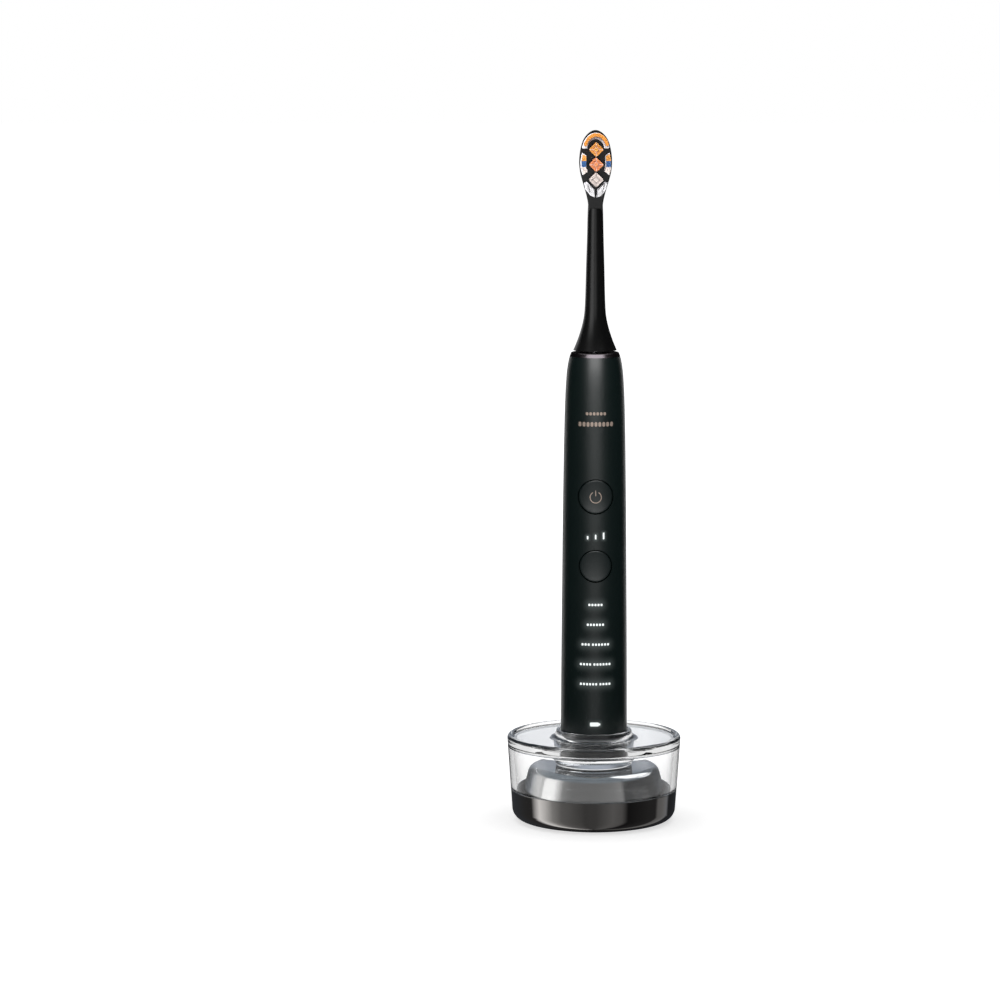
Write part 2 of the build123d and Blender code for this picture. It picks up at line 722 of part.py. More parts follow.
with BuildPart() as head_plate:
    with BuildSketch(Plane.XZ.offset(-head_back)):
        with BuildLine():
            Line((-0.9 * neck_waist, waist_z), (0.9 * neck_waist, waist_z))
            Spline((0.9 * neck_waist, waist_z), *head_points, (0, tip_z), *mirrored(head_points),
                   (-0.9 * neck_waist, waist_z))
        make_face()
    extrude(amount=head_back + head_front)
    fillet(head_plate.faces().sort_by(Axis.Y)[-1].edges(), head_back_round)
    fillet(head_plate.faces().sort_by(Axis.Y)[0].edges(), head_front_round)

patches = [arc_patch, side_patches, heel_patches]
with BuildPart() as brush_neck:
    with BuildSketch(Plane.XZ):
        with BuildLine():
            Line((0, neck_base), (neck_radius, neck_base))
            Spline((neck_radius, neck_base), *neck_points, (neck_waist, waist_z),
                   (0.75 * neck_waist, waist_z + 0.3 * head_length))
            Polyline((0.75 * neck_waist, waist_z + 0.3 * head_length),
                     (0, waist_z + 0.3 * head_length), (0, neck_base))
        make_face()
    revolve(axis=Axis.Z)
    with BuildSketch(Plane.XZ.offset(head_front)):
        with Locations((0, (waist_z + tip_z) / 2 + 1)):
            Rectangle(4 * neck_radius, tip_z - waist_z)
    extrude(amount=neck_radius, mode=Mode.SUBTRACT)
    add(head_plate.part)
    revolve(half_section([(0, neck_base), (socket_mouth, neck_base), (socket_neck, cone_top),
                          (socket_neck, sleeve_top), (shaft_radius + 0.25, sleeve_top),
                          (shaft_radius + 0.25, bore_top), (0, bore_top)]),
            Axis.Z, mode=Mode.SUBTRACT)
    for make_patch in patches:
        extrude(make_patch(-carrier_fit), amount=-pocket_depth - carrier_proud, mode=Mode.SUBTRACT)
    for height in diamond_heights.values():
        extrude(diamond(height, -carrier_fit), amount=-pocket_depth - carrier_proud, mode=Mode.SUBTRACT)
save(brush_neck, "brush_neck")

with BuildPart() as bristle_carriers:
    for make_patch in patches:
        extrude(make_patch(0), amount=-pocket_depth - carrier_proud)
save(bristle_carriers, "bristle_carriers")

for name, make_patch, height in (("arc", arc_patch, arc_bristle), ("side", side_patches, side_bristle),
                                 ("heel", heel_patches, heel_bristle)):
    with BuildPart() as bristles:
        extrude(make_patch(0.25), amount=height)
    save(bristles, f"bristles_{name}")
for name, height in diamond_heights.items():
    with BuildPart() as bristles:
        extrude(diamond(height, 0), amount=centre_bristle)
        extrude(diamond(height, 0), amount=-pocket_depth - carrier_proud)
    save(bristles, f"bristles_centre_{name}")

plug_low = neck_base + 0.3
plug_flange = socket_mouth - (socket_mouth - socket_neck) * 1.8 / socket_cone - 0.2
with BuildPart() as neck_plug:
    revolve(half_section([
        (0, plug_low), (plug_flange, plug_low), (plug_flange, plug_low + 1.5),
        (socket_neck - socket_wall_gap, plug_low + 1.5), (socket_neck - socket_wall_gap, cone_top - 0.3),
        (0, cone_top - 0.3)]), Axis.Z)
    with BuildSketch(Plane.XY.offset(plug_low)):
        Circle(seal_bore)
        with Locations((0, shaft_key + shaft_clearance + shaft_radius)):
            Rectangle(4 * shaft_radius, 2 * shaft_radius, mode=Mode.SUBTRACT)
    extrude(amount=socket_cone, mode=Mode.SUBTRACT)
save(neck_plug, "neck_plug")
save(ring(socket_neck + 0.1, plug_flange - 0.5, plug_low + 1.6, plug_low + 2.2), "chip_ring")
save(ring(seal_bore, socket_neck - socket_wall_gap, cone_top - 0.2, sleeve_top - 0.2), "shaft_clip")
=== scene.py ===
# %% [markdown]
# # A sonic toothbrush standing in its charger
#
# The working model already exists as a frame of CAD parts: the charger, its clear cover, the handle
# with everything inside it, and the brush head. This lesson gives that frame its looks. Parts whose
# shape is right keep their mesh and get a finish. Parts that were only blocks, such as the
# bristles, are modelled again in the space that the block holds.

import json
import math
import random

import bmesh
import bpy
from mathutils import Matrix, Vector
from mathutils.bvhtree import BVHTree

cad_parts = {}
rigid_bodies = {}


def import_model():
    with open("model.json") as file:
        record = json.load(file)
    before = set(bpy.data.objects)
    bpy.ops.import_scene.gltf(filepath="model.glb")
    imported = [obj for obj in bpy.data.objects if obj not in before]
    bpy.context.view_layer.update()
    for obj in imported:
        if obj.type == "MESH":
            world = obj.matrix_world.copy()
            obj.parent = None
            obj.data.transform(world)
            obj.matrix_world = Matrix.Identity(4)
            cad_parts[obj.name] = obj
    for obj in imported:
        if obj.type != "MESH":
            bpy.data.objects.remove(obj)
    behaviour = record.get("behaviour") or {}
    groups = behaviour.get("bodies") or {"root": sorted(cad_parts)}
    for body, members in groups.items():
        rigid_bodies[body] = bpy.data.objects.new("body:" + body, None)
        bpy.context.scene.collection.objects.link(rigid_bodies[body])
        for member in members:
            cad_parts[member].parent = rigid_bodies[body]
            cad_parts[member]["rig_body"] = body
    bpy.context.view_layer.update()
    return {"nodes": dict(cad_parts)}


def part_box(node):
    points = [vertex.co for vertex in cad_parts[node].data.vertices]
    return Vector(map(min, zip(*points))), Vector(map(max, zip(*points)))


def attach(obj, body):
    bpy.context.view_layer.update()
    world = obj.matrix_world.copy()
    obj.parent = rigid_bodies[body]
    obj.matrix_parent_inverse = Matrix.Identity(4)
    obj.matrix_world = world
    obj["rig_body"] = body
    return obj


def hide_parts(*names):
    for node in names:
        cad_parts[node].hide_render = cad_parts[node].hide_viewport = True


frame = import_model()
nodes = frame["nodes"]
MM = 0.001

# %% [markdown]
# ## The camera
#
# A long lens far away keeps the upright handle's sides nearly parallel. The camera looks down by a
# few degrees, so the clear cover's rim opens into a narrow ellipse.

# %% Place the camera
camera = bpy.data.objects.new("studio_camera", bpy.data.cameras.new("studio_camera"))
camera.data.sensor_width = 36.0
camera.data.lens = 147.6
camera.data.clip_start, camera.data.clip_end = 0.05, 100.0
camera.location = (-0.06415, -1.6686, 0.3472)
camera.rotation_euler = (math.radians(82.7), 0.0, math.radians(-0.87))
bpy.context.scene.collection.objects.link(camera)
bpy.context.scene.camera = camera
bpy.context.scene.view_settings.view_transform = "Standard"
print("camera at", tuple(camera.location))

# %% [markdown]
# ## The white room
#
# Polished metal and clear plastic show nothing but their surroundings, so the room matters more
# than their colour. What the camera sees directly, or through the clear cover, is plain white.
# Everything that is mirrored or scattered sees a dim grey room instead, in which a few soft boxes
# are the only bright things. The Light Path node tells the two apart.

# %% Helpers for node trees
def feed(tree, socket, value):
    """Link an output to a socket, or set the socket's own value."""
    if isinstance(value, bpy.types.NodeSocket):
        tree.links.new(value, socket)
    elif socket.type == "RGBA" and len(value) == 3:
        socket.default_value = (*value, 1.0)
    else:
        socket.default_value = value


def add(tree, kind, inputs=None, **settings):
    """Add a node of a kind, with settings and a dictionary of what its inputs get."""
    node = tree.nodes.new("ShaderNode" + kind)
    for name, value in settings.items():
        setattr(node, name, value)
    for name, value in (inputs or {}).items():
        feed(tree, node.inputs[name], value)
    return node


def new_material(name):
    """A new material, its node tree, its Principled shader and the object coordinates."""
    material = bpy.data.materials.new(name)
    material.use_nodes = True
    tree = material.node_tree
    return material, tree, tree.nodes["Principled BSDF"], add(tree, "TexCoord").outputs["Object"]


def calc(tree, operation, *values, clamp=False):
    """The result of one Math node."""
    node = add(tree, "Math", operation=operation, use_clamp=clamp)
    for socket, value in zip(node.inputs, values):
        feed(tree, socket, value)
    return node.outputs[0]


def blend(tree, factor, first, second):
    """A colour between two colours."""
    node = add(tree, "Mix", data_type="RGBA")
    for index, value in ((0, factor), (6, first), (7, second)):
        feed(tree, node.inputs[index], value)
    return node.outputs[2]


def ramp(tree, factor, stops):
    """The colour of a Color Ramp with (position, colour) stops."""
    node = add(tree, "ValToRGB", {"Fac": factor})
    elements = node.color_ramp.elements
    elements[0].position, elements[1].position = stops[0][0], stops[-1][0]
    for position, colour in stops[1:-1]:
        elements.new(position)
    for element, (position, colour) in zip(elements, stops):
        element.color = (*colour, 1.0)
    return node.outputs["Color"]


def remap(tree, value, start, end, low=0.0, high=1.0, smooth=False):
    """A value that goes from low to high while another goes from start to end."""
    node = add(tree, "MapRange", {"Value": value, "From Min": start, "From Max": end,
                                  "To Min": low, "To Max": high})
    node.interpolation_type = "SMOOTHSTEP" if smooth else "LINEAR"
    return node.outputs["Result"]


def xyz(tree, vector):
    """The X, Y and Z of a vector."""
    return add(tree, "SeparateXYZ", {"Vector": vector}).outputs


def noise(tree, vector, scale, detail, roughness=0.5):
    """The value of a Noise Texture."""
    return add(tree, "TexNoise", {"Vector": vector, "Scale": scale, "Detail": detail,
                                  "Roughness": roughness}).outputs["Fac"]


# %% Build the room
ROOM_GREY = 0.018

world = bpy.data.worlds.new("white_room")
bpy.context.scene.world = world
world.use_nodes = True
tree = world.node_tree
path = add(tree, "LightPath")
bounces = calc(tree, "ADD", path.outputs["Glossy Depth"], path.outputs["Diffuse Depth"])
straight_through = calc(tree, "MULTIPLY", path.outputs["Is Transmission Ray"],
                        calc(tree, "LESS_THAN", bounces, 0.5))
direct = calc(tree, "MAXIMUM", path.outputs["Is Camera Ray"], straight_through)
feed(tree, tree.nodes["Background"].inputs["Color"],
     blend(tree, direct, (ROOM_GREY, ROOM_GREY, 1.06 * ROOM_GREY), (1.0, 1.0, 1.0)))
print("room grey:", ROOM_GREY)

# %% [markdown]
# ## Soft boxes
#
# A soft box is an area light: a bright rectangle that faces the object. The satin handle, its
# bright trim ring, the glossy neck and the pale bristles each want their own, so a box lights only
# a chosen set of pieces, as flags and screens do in a studio. Light linking keeps those sets in
# collections, which are filled once every piece exists.

# %% Hang the lights
lit_sets = {name: bpy.data.collections.new(f"lit_{name}")
            for name in ("charger", "handle", "trim", "neck", "bristles")}


def softbox(name, centre, target, width, height, radiance, colour=(1.0, 1.0, 1.0), only=None):
    """Hang a soft box of a width and height in metres that faces the target."""
    light = bpy.data.lights.new(name, "AREA")
    light.shape = "RECTANGLE"
    light.size, light.size_y = width, height
    light.energy = 4.0 * radiance * width * height
    light.color = colour
    box = bpy.data.objects.new(name, light)
    away = Vector(centre) - Vector(target)
    turn = away.to_track_quat("Z", "Y").to_matrix().to_4x4()
    box.matrix_world = Matrix.Translation(centre) @ turn
    box.visible_camera = box.visible_transmission = False
    bpy.context.scene.collection.objects.link(box)
    if only:
        box.light_linking.receiver_collection = lit_sets[only]


HANDLE_MIDDLE, HEAD_MIDDLE = (0.0, 0.0, 0.15), (0.0, 0.0, 0.25)
softbox("key_box", (-0.02, -0.50, 0.40), HANDLE_MIDDLE, 0.50, 0.33, 5.6, only="handle")
softbox("low_key_box", (0.0, -0.62, 0.02), HANDLE_MIDDLE, 0.42, 0.26, 0.55, only="handle")
softbox("left_rim", (-0.42, 0.70, 0.2), HANDLE_MIDDLE, 0.25, 0.8, 0.9, only="handle")
softbox("right_rim", (0.42, 0.70, 0.2), HANDLE_MIDDLE, 0.25, 0.8, 0.9, only="handle")
softbox("trim_box", (0.0, -0.30, 0.29), (0.0, 0.0, 0.19), 0.50, 0.40, 3.2, (1.0, 0.97, 1.0),
        only="trim")
softbox("neck_box", (-0.34, -0.44, 0.24), HEAD_MIDDLE, 0.40, 0.5, 1.2, only="neck")
softbox("neck_front", (0.01, -0.60, 0.18), HEAD_MIDDLE, 0.26, 0.34, 0.66, only="neck")
softbox("neck_rim", (-0.30, 0.60, 0.25), HEAD_MIDDLE, 0.6, 0.4, 0.6, only="neck")
softbox("bristle_box", (-0.20, -0.46, 0.48), HEAD_MIDDLE, 0.4, 0.4, 8.2, only="bristles")
softbox("room_fill", (0.0, 0.0, 2.2), (0.0, 0.0, 0.0), 3.0, 3.0, 0.9)

# %% [markdown]
# ## A striped tent for the chrome
#
# Dark chrome is best lit by a light tent: a white shell with darker panels, so the metal shows soft
# upright stripes. Here the tent is a large sphere whose brightness depends on the direction. Two
# ramps give the brightness round the horizon, one for below it, which the upright band mirrors,
# and one for above it, which the dome mirrors. The back is a little cooler, and near the top the
# tent fades to an even blue grey with a bright opening. Only rays that some surface has already
# mirrored may see the tent, so the background stays white, and it lights only the charger.
#
# A ray that is mirrored inside the clear plastic would pick up those stripes too, and turn the
# cover's rim into a tangle. Such a ray has crossed one or two surfaces of the plastic when it comes
# out, as its Transmission Depth tells, and it sees an even mid grey instead. A ray that the dome
# has mirrored has crossed more of them, and keeps its stripes.

# %% Stripes round the tent
TENT_PEAK = 3.0        # the brightest stripe
low_stripes = [
    (-180, 0.02), (-128, 0.07), (-99, 0.06), (-84, 2.7), (-75, 2.0), (-62, 0.85), (-48, 0.40),
    (-14, 0.15), (2, 0.17), (25, 0.36), (38, 0.28), (47, 0.01), (82, 0.05), (95, 0.05),
    (100, 0.36), (121, 0.5), (127, 0.03), (180, 0.02)]
high_stripes = [
    (-180, 0.42), (-166, 0.36), (-152, 0.08), (-130, 0.25), (-122, 0.8), (-104, 1.1), (-96, 0.9),
    (-90, 2.1), (-72, 2.3), (-58, 0.8), (-54, 0.42), (-40, 0.25), (0, 0.25), (30, 0.30), (44, 0.40),
    (51, 0.04), (60, 0.07), (75, 0.04), (118, 0.08), (152, 0.06), (166, 0.36), (180, 0.42)]


def azimuth_ramp(tree, turn, stops):
    """Brightness by azimuth; stops are (degrees to the right of the front, brightness)."""
    return ramp(tree, turn, [((angle + 180.0) / 360.0, (level / TENT_PEAK,) * 3)
                             for angle, level in stops])


print("tent stripes:", len(low_stripes), "and", len(high_stripes))

# %% The tent's light
OPENING_WAY = Vector((0.56, 0.33, 0.76)).normalized()
COOL_BACK, ROOF_BLUE, OPENING_WHITE = (0.90, 1.0, 1.16), (0.10, 0.12, 0.14), (0.95, 0.97, 1.0)

material, tree, shader, coords = new_material("tent_light")
tree.nodes.remove(shader)
outward = add(tree, "VectorMath", {0: coords}, operation="NORMALIZE")
axes = xyz(tree, outward.outputs[0])
angle = calc(tree, "ARCTAN2", axes["X"], calc(tree, "MULTIPLY", axes["Y"], -1.0))
turn = calc(tree, "MULTIPLY_ADD", angle, 0.5 / math.pi, 0.5)
rise = axes["Z"]
stripes = blend(tree, remap(tree, rise, -0.16, 0.02, smooth=True),
                azimuth_ramp(tree, turn, low_stripes), azimuth_ramp(tree, turn, high_stripes))
behind = remap(tree, axes["Y"], 0.3, 0.8, smooth=True)
cooler = blend(tree, behind, (1.0, 1.0, 1.0), COOL_BACK)
cooled = add(tree, "VectorMath", {0: stripes, 1: cooler}, operation="MULTIPLY")
closed = blend(tree, remap(tree, rise, 0.34, 0.62, smooth=True), cooled.outputs[0], ROOF_BLUE)
lamp = add(tree, "VectorMath", {0: outward.outputs[0], 1: OPENING_WAY}, operation="DOT_PRODUCT")
opening = remap(tree, lamp.outputs["Value"], 0.90, 0.94, smooth=True)
shown = blend(tree, opening, closed, OPENING_WHITE)
path = add(tree, "LightPath")
even_grey = remap(tree, rise, -0.10, 0.15, 0.27, 0.31, smooth=True)
inside_plastic = calc(tree, "COMPARE", path.outputs["Transmission Depth"], 1.5, 1.1)    # 1 or 2
shown = blend(tree, inside_plastic, shown, even_grey)
mirrored = calc(tree, "GREATER_THAN", path.outputs["Glossy Depth"], 0.5)
strength = calc(tree, "MULTIPLY", mirrored, TENT_PEAK)
glow = add(tree, "Emission", {"Color": shown, "Strength": strength})
pass_through = add(tree, "BsdfTransparent")
both = add(tree, "AddShader")
tree.links.new(glow.outputs[0], both.inputs[0])
tree.links.new(pass_through.outputs[0], both.inputs[1])
tree.links.new(both.outputs[0], tree.nodes["Material Output"].inputs["Surface"])
material.cycles.emission_sampling = "NONE"
print("tent light:", len(tree.nodes), "nodes")


# %% Pitch the tent
def make_object(bm, name, material):
    """Turn a bmesh into an object at the origin with one material."""
    mesh = bpy.data.meshes.new(name)
    bm.to_mesh(mesh)
    bm.free()
    mesh.materials.append(material)
    made = bpy.data.objects.new(name, mesh)
    bpy.context.scene.collection.objects.link(made)
    return made


bm = bmesh.new()
bmesh.ops.create_uvsphere(bm, u_segments=64, v_segments=32, radius=1.0)
tent = make_object(bm, "light_tent", material)
tent.visible_camera = tent.visible_diffuse = tent.visible_shadow = False
tent.light_linking.receiver_collection = lit_sets["charger"]
print("tent:", tuple(tent.dimensions))

# %% [markdown]
# ## The floor
#
# The floor is a large white sheet with a faint soft shadow under the charger. A little emission
# lifts it to the white of the room, and the rest comes from the lights, so it can still darken. It
# is hidden from mirrored rays, which would otherwise show a blank white floor in all the chrome.
# The object's own switch does that only for the rays' last step, so the material is transparent
# too for every ray that was mirrored earlier and then passed through the clear cover. Its underside
# is transparent as well, so the object can be looked at from below.

# %% Lay the floor
NEAR_GLOW, FAR_GLOW = 0.66, 1.0        # emission beside the charger and further away

material, tree, sheet, coords = new_material("white_floor")
feed(tree, sheet.inputs["Base Color"],
     ramp(tree, noise(tree, coords, 900.0, 2.0), [(0.3, (0.80,) * 3), (0.7, (0.84,) * 3)]))
sheet.inputs["Roughness"].default_value = 0.9
sheet.inputs["Specular IOR Level"].default_value = 0.1
away = add(tree, "VectorMath", {0: coords}, operation="LENGTH")
feed(tree, sheet.inputs["Emission Color"],
     remap(tree, away.outputs["Value"], 0.04, 0.16, NEAR_GLOW, FAR_GLOW))
sheet.inputs["Emission Strength"].default_value = 1.0
clear = add(tree, "BsdfTransparent")
geometry = add(tree, "NewGeometry")
path = add(tree, "LightPath")
mirrored = calc(tree, "GREATER_THAN", path.outputs["Glossy Depth"], 0.5)
unseen = calc(tree, "MAXIMUM", geometry.outputs["Backfacing"], mirrored)
choose = add(tree, "MixShader", {"Fac": unseen})
tree.links.new(sheet.outputs[0], choose.inputs[1])
tree.links.new(clear.outputs[0], choose.inputs[2])
tree.links.new(choose.outputs[0], tree.nodes["Material Output"].inputs["Surface"])

bm = bmesh.new()
bmesh.ops.create_grid(bm, x_segments=1, y_segments=1, size=8.0)
floor = make_object(bm, "floor", material)
floor.visible_glossy = floor.visible_shadow = False
print("floor:", tuple(floor.dimensions))

# %% [markdown]
# ## Surface effects that many finishes share
#
# Each effect is a node group, built once. It reads the piece's own coordinates in metres, and puts
# out only masks, values and heights, so any material can use it with its own strength:
# a moulded skin for plastics and rubber, turned lines for metal from a lathe, wound wire for coils,
# hairlines for polished parts that have been wiped, a soft mark for a lit sign's glow, and a petal
# cut for the square bristle clusters.

# %% A helper for node groups
def new_group(name, inputs, outputs):
    """An empty group with (name, default) inputs; gives it, its given values and its outputs."""
    group = bpy.data.node_groups.new(name, "ShaderNodeTree")
    group.interface.new_socket("Vector", in_out="INPUT", socket_type="NodeSocketVector")
    for label, value in inputs:
        socket = group.interface.new_socket(label, in_out="INPUT", socket_type="NodeSocketFloat")
        socket.default_value = value
    for label in outputs:
        group.interface.new_socket(label, in_out="OUTPUT", socket_type="NodeSocketFloat")
    return (group, group.nodes.new("NodeGroupInput").outputs,
            group.nodes.new("NodeGroupOutput").inputs)


# %% Moulded skin
group, given, out = new_group("moulded_skin", [("Grain Size", 0.0002), ("Patch Size", 0.006)],
                              ["Grain", "Patches"])
for label, size, detail, roughness in (("Grain", "Grain Size", 3.0, 0.6),
                                       ("Patches", "Patch Size", 4.0, 0.5)):
    scale = calc(group, "DIVIDE", 1.0, given[size])
    feed(group, out[label], noise(group, given["Vector"], scale, detail, roughness))
moulded_skin = group
print("group:", group.name)

# %% Turned lines
group, given, out = new_group("turned_lines", [("Pitch", 0.0002)], ["Line", "Height"])
place = xyz(group, given["Vector"])
radius = calc(group, "SQRT", calc(group, "ADD", calc(group, "POWER", place["X"], 2.0),
                                  calc(group, "POWER", place["Y"], 2.0)))
step = calc(group, "DIVIDE", calc(group, "ADD", radius, place["Z"]), given["Pitch"])
wave = calc(group, "SINE", calc(group, "MULTIPLY", step, 2 * math.pi))
waver = add(group, "TexNoise", {"W": calc(group, "MULTIPLY", step, 0.31)},
            noise_dimensions="1D")
feed(group, out["Line"], waver.outputs["Fac"])
feed(group, out["Height"], calc(group, "MULTIPLY_ADD", wave, 0.5, 0.5))
turned_lines = group
print("group:", group.name)

# %% Wound wire
group, given, out = new_group("wound_wire", [("Wire", 0.0003)], ["Round", "Shade"])
place = xyz(group, given["Vector"])
turn = calc(group, "FRACT", calc(group, "DIVIDE", place["Z"], given["Wire"]))
arc = calc(group, "SQRT", calc(group, "SUBTRACT", 1.0, calc(
    group, "POWER", calc(group, "MULTIPLY_ADD", turn, 2.0, -1.0), 2.0), clamp=True))
feed(group, out["Round"], arc)
# Shade follows each turn's round profile; finishes paint the wire darker with it towards the grooves
# between turns, as painted shade.
drift = calc(group, "MULTIPLY_ADD", noise(group, given["Vector"], 700.0, 2.0), 0.5, 0.6)
feed(group, out["Shade"], calc(group, "MULTIPLY", arc, drift))
wound_wire = group
print("group:", group.name)

# %% Hairlines
group, given, out = new_group("hairlines", [("Reach", 0.004)], ["Hairline", "Smudge"])
stretch = add(group, "Mapping", {"Vector": given["Vector"], "Scale": (0.06, 0.06, 1.0),
                                 "Rotation": (0.3, 0.2, 0.0)})
fine = noise(group, stretch.outputs[0], 9000.0, 2.0)
scale = calc(group, "DIVIDE", 1.0, given["Reach"])
feed(group, out["Hairline"], calc(group, "GREATER_THAN", fine, 0.66))
feed(group, out["Smudge"], noise(group, given["Vector"], scale, 3.0))
hairlines = group
print("group:", group.name)

# %% Soft mark
group, given, out = new_group(
    "soft_mark", [("Centre X", 0.0), ("Centre Z", 0.1), ("Half Width", 0.003),
                  ("Half Height", 0.001), ("Spread", 0.0015)], ["Glow"])
place = xyz(group, given["Vector"])
squares = []
for way, half in (("X", "Half Width"), ("Z", "Half Height")):
    off = calc(group, "ABSOLUTE", calc(group, "SUBTRACT", place[way], given[f"Centre {way}"]))
    beyond = calc(group, "MAXIMUM", calc(group, "SUBTRACT", off, given[half]), 0.0)
    squares.append(calc(group, "POWER", beyond, 2.0))
apart = calc(group, "SQRT", calc(group, "ADD", *squares))
part = calc(group, "DIVIDE", apart, given["Spread"])
fade = calc(group, "POWER", calc(group, "SUBTRACT", 1.0, part, clamp=True), 2.0)
front = calc(group, "LESS_THAN", place["Y"], 0.0)
feed(group, out["Glow"], calc(group, "MULTIPLY", fade, front))
soft_mark = group
print("group:", group.name)

# %% Petal cut
group, given, out = new_group(
    "petal_cut", [("Centre Z", 0.27), ("Core", 0.00105), ("Line", 0.00034)], ["Line", "Outward"])
place = xyz(group, given["Vector"])
beside = calc(group, "ABSOLUTE", place["X"])
above = calc(group, "ABSOLUTE", calc(group, "SUBTRACT", place["Z"], given["Centre Z"]))
reach = calc(group, "SUBTRACT", calc(group, "ADD", beside, above), given["Core"])
outside = calc(group, "GREATER_THAN", reach, 0.0)
edge = calc(group, "LESS_THAN", reach, calc(group, "MULTIPLY", given["Line"], 1.2))
spoke = calc(group, "LESS_THAN", calc(group, "MINIMUM", beside, above),
             calc(group, "MULTIPLY", given["Line"], 0.5))
seam = calc(group, "MAXIMUM", edge, spoke)
feed(group, out["Line"], calc(group, "MULTIPLY", outside, seam))
feed(group, out["Outward"], calc(group, "DIVIDE", reach, 0.0021, clamp=True))
petal_cut = group
print("group:", group.name)

# %% [markdown]
# ## Finishes by family
#
# Most pieces belong to a few families: moulded plastic or rubber, metal, and wound wire. A function
# for each family builds a whole material from a colour and a few numbers. The shader itself stays
# in the material, and only its colour, roughness and bump vary over the surface.

# %% Material builders
def use(tree, group, coords, **values):
    """Place a node group on the object coordinates; an underscore in a name stands for a space."""
    node = tree.nodes.new("ShaderNodeGroup")
    node.node_tree = group
    feed(tree, node.inputs["Vector"], coords)
    for name, value in values.items():
        node.inputs[name.replace("_", " ")].default_value = value
    return node.outputs


def rough(tree, shader, mask, low, high):
    """Roughness that runs from low to high with a mask; gives that roughness."""
    spread = remap(tree, mask, 0.0, 1.0, low, high)
    feed(tree, shader.inputs["Roughness"], spread)
    return spread


def bump(tree, shader, height, distance):
    """Bump of a depth in metres."""
    node = add(tree, "Bump", {"Height": height, "Strength": 1.0, "Distance": distance})
    feed(tree, shader.inputs["Normal"], node.outputs[0])


def tint(colour, factor):
    """A colour made lighter or darker."""
    return tuple(min(1.0, channel * factor) for channel in colour)


def plastic(name, colour, roughness):
    """Moulded plastic or rubber."""
    material, tree, shader, coords = new_material(name)
    skin = use(tree, moulded_skin, coords, Grain_Size=0.2 * MM)
    feed(tree, shader.inputs["Base Color"],
         blend(tree, skin["Patches"], tint(colour, 0.88), tint(colour, 1.12)))
    rough(tree, shader, skin["Patches"], roughness * 0.88, roughness * 1.12)
    bump(tree, shader, skin["Grain"], 0.006 * MM)
    return material


def metal(name, colour, roughness):
    """Turned or plated metal with fine lathe lines and a few wiped patches."""
    material, tree, shader, coords = new_material(name)
    lines = use(tree, turned_lines, coords, Pitch=0.18 * MM)
    wiped = use(tree, hairlines, coords)
    feed(tree, shader.inputs["Base Color"],
         blend(tree, lines["Line"], tint(colour, 0.88), tint(colour, 1.08)))
    shader.inputs["Metallic"].default_value = 1.0
    rough(tree, shader, wiped["Smudge"], roughness * 0.8, roughness * 1.25)
    bump(tree, shader, lines["Height"], 0.002 * MM)
    return material


def wire(name, colour, groove_shade_colour, diameter):
    """Enamelled wire wound in level layers."""
    material, tree, shader, coords = new_material(name)
    wound = use(tree, wound_wire, coords, Wire=diameter)
    # Painted shade: the copper darkens towards the grooves between turns.
    feed(tree, shader.inputs["Base Color"], blend(tree, wound["Shade"], groove_shade_colour, colour))
    shader.inputs["Metallic"].default_value = 0.85
    rough(tree, shader, wound["Shade"], 0.5, 0.25)
    bump(tree, shader, wound["Round"], diameter * 0.35)
    return material


# %% Plain families
finish = {}
for name, colour, roughness in [
        ("plate_plastic", (0.018, 0.018, 0.019), 0.55), ("foot_rubber", (0.02, 0.02, 0.02), 0.8),
        ("board_green", (0.01, 0.11, 0.045), 0.4), ("component_black", (0.015, 0.015, 0.016), 0.45),
        ("bobbin_white", (0.72, 0.71, 0.67), 0.45), ("ferrite", (0.05, 0.048, 0.046), 0.6),
        ("seal_rubber", (0.03, 0.03, 0.032), 0.7), ("chassis_grey", (0.22, 0.23, 0.24), 0.45),
        ("led_white", (0.85, 0.86, 0.80), 0.3), ("battery_wrap", (0.05, 0.19, 0.42), 0.3),
        ("plug_white", (0.70, 0.70, 0.68), 0.4), ("chip_tag", (0.35, 0.16, 0.05), 0.4)]:
    finish[name] = plastic(name, colour, roughness)
for name, colour, roughness in [
        ("screw_steel", (0.55, 0.55, 0.56), 0.3), ("switch_steel", (0.60, 0.60, 0.60), 0.3),
        ("contact_nickel", (0.66, 0.62, 0.54), 0.25), ("motor_steel", (0.50, 0.51, 0.53), 0.28),
        ("lamination", (0.30, 0.30, 0.31), 0.4), ("bronze", (0.50, 0.31, 0.13), 0.35),
        ("spring_steel", (0.58, 0.58, 0.60), 0.25), ("shaft_steel", (0.62, 0.62, 0.63), 0.18),
        ("magnet", (0.42, 0.43, 0.44), 0.22)]:
    finish[name] = metal(name, colour, roughness)
finish["copper_winding"] = wire("copper_winding", (0.62, 0.24, 0.09), (0.10, 0.03, 0.01), 0.0003)
print("finishes:", sorted(finish))

# %% [markdown]
# ## Clear plastic
#
# The cover and the standing cup are one piece of clear moulded plastic, and so is the light guide
# behind the shell. Clear plastic is a Transmission Weight of 1 with the plastic's own index of
# refraction. It stays smooth, with very slight moulding ripples that bend the highlights.

# %% Clear finishes
def clear_plastic(name, colour, roughness, ripple):
    """Clear plastic with moulding ripples of a depth in metres."""
    material, tree, shader, coords = new_material(name)
    skin = use(tree, moulded_skin, coords, Grain_Size=0.012, Patch_Size=0.03)
    feed(tree, shader.inputs["Base Color"],
         blend(tree, skin["Patches"], tint(colour, 0.995), colour))
    shader.inputs["Transmission Weight"].default_value = 1.0
    shader.inputs["IOR"].default_value = 1.49
    shader.inputs["Specular IOR Level"].default_value = 0.22
    shader.inputs["Roughness"].default_value = roughness
    bump(tree, shader, skin["Grain"], ripple)
    return material


finish["clear_glass"] = clear_plastic("clear_glass", (1.0, 1.0, 1.0), 0.0, 0.00001)
finish["guide_clear"] = clear_plastic("guide_clear", (0.9, 0.95, 0.97), 0.25, 0.00002)
print("clear:", finish["clear_glass"].name, finish["guide_clear"].name)

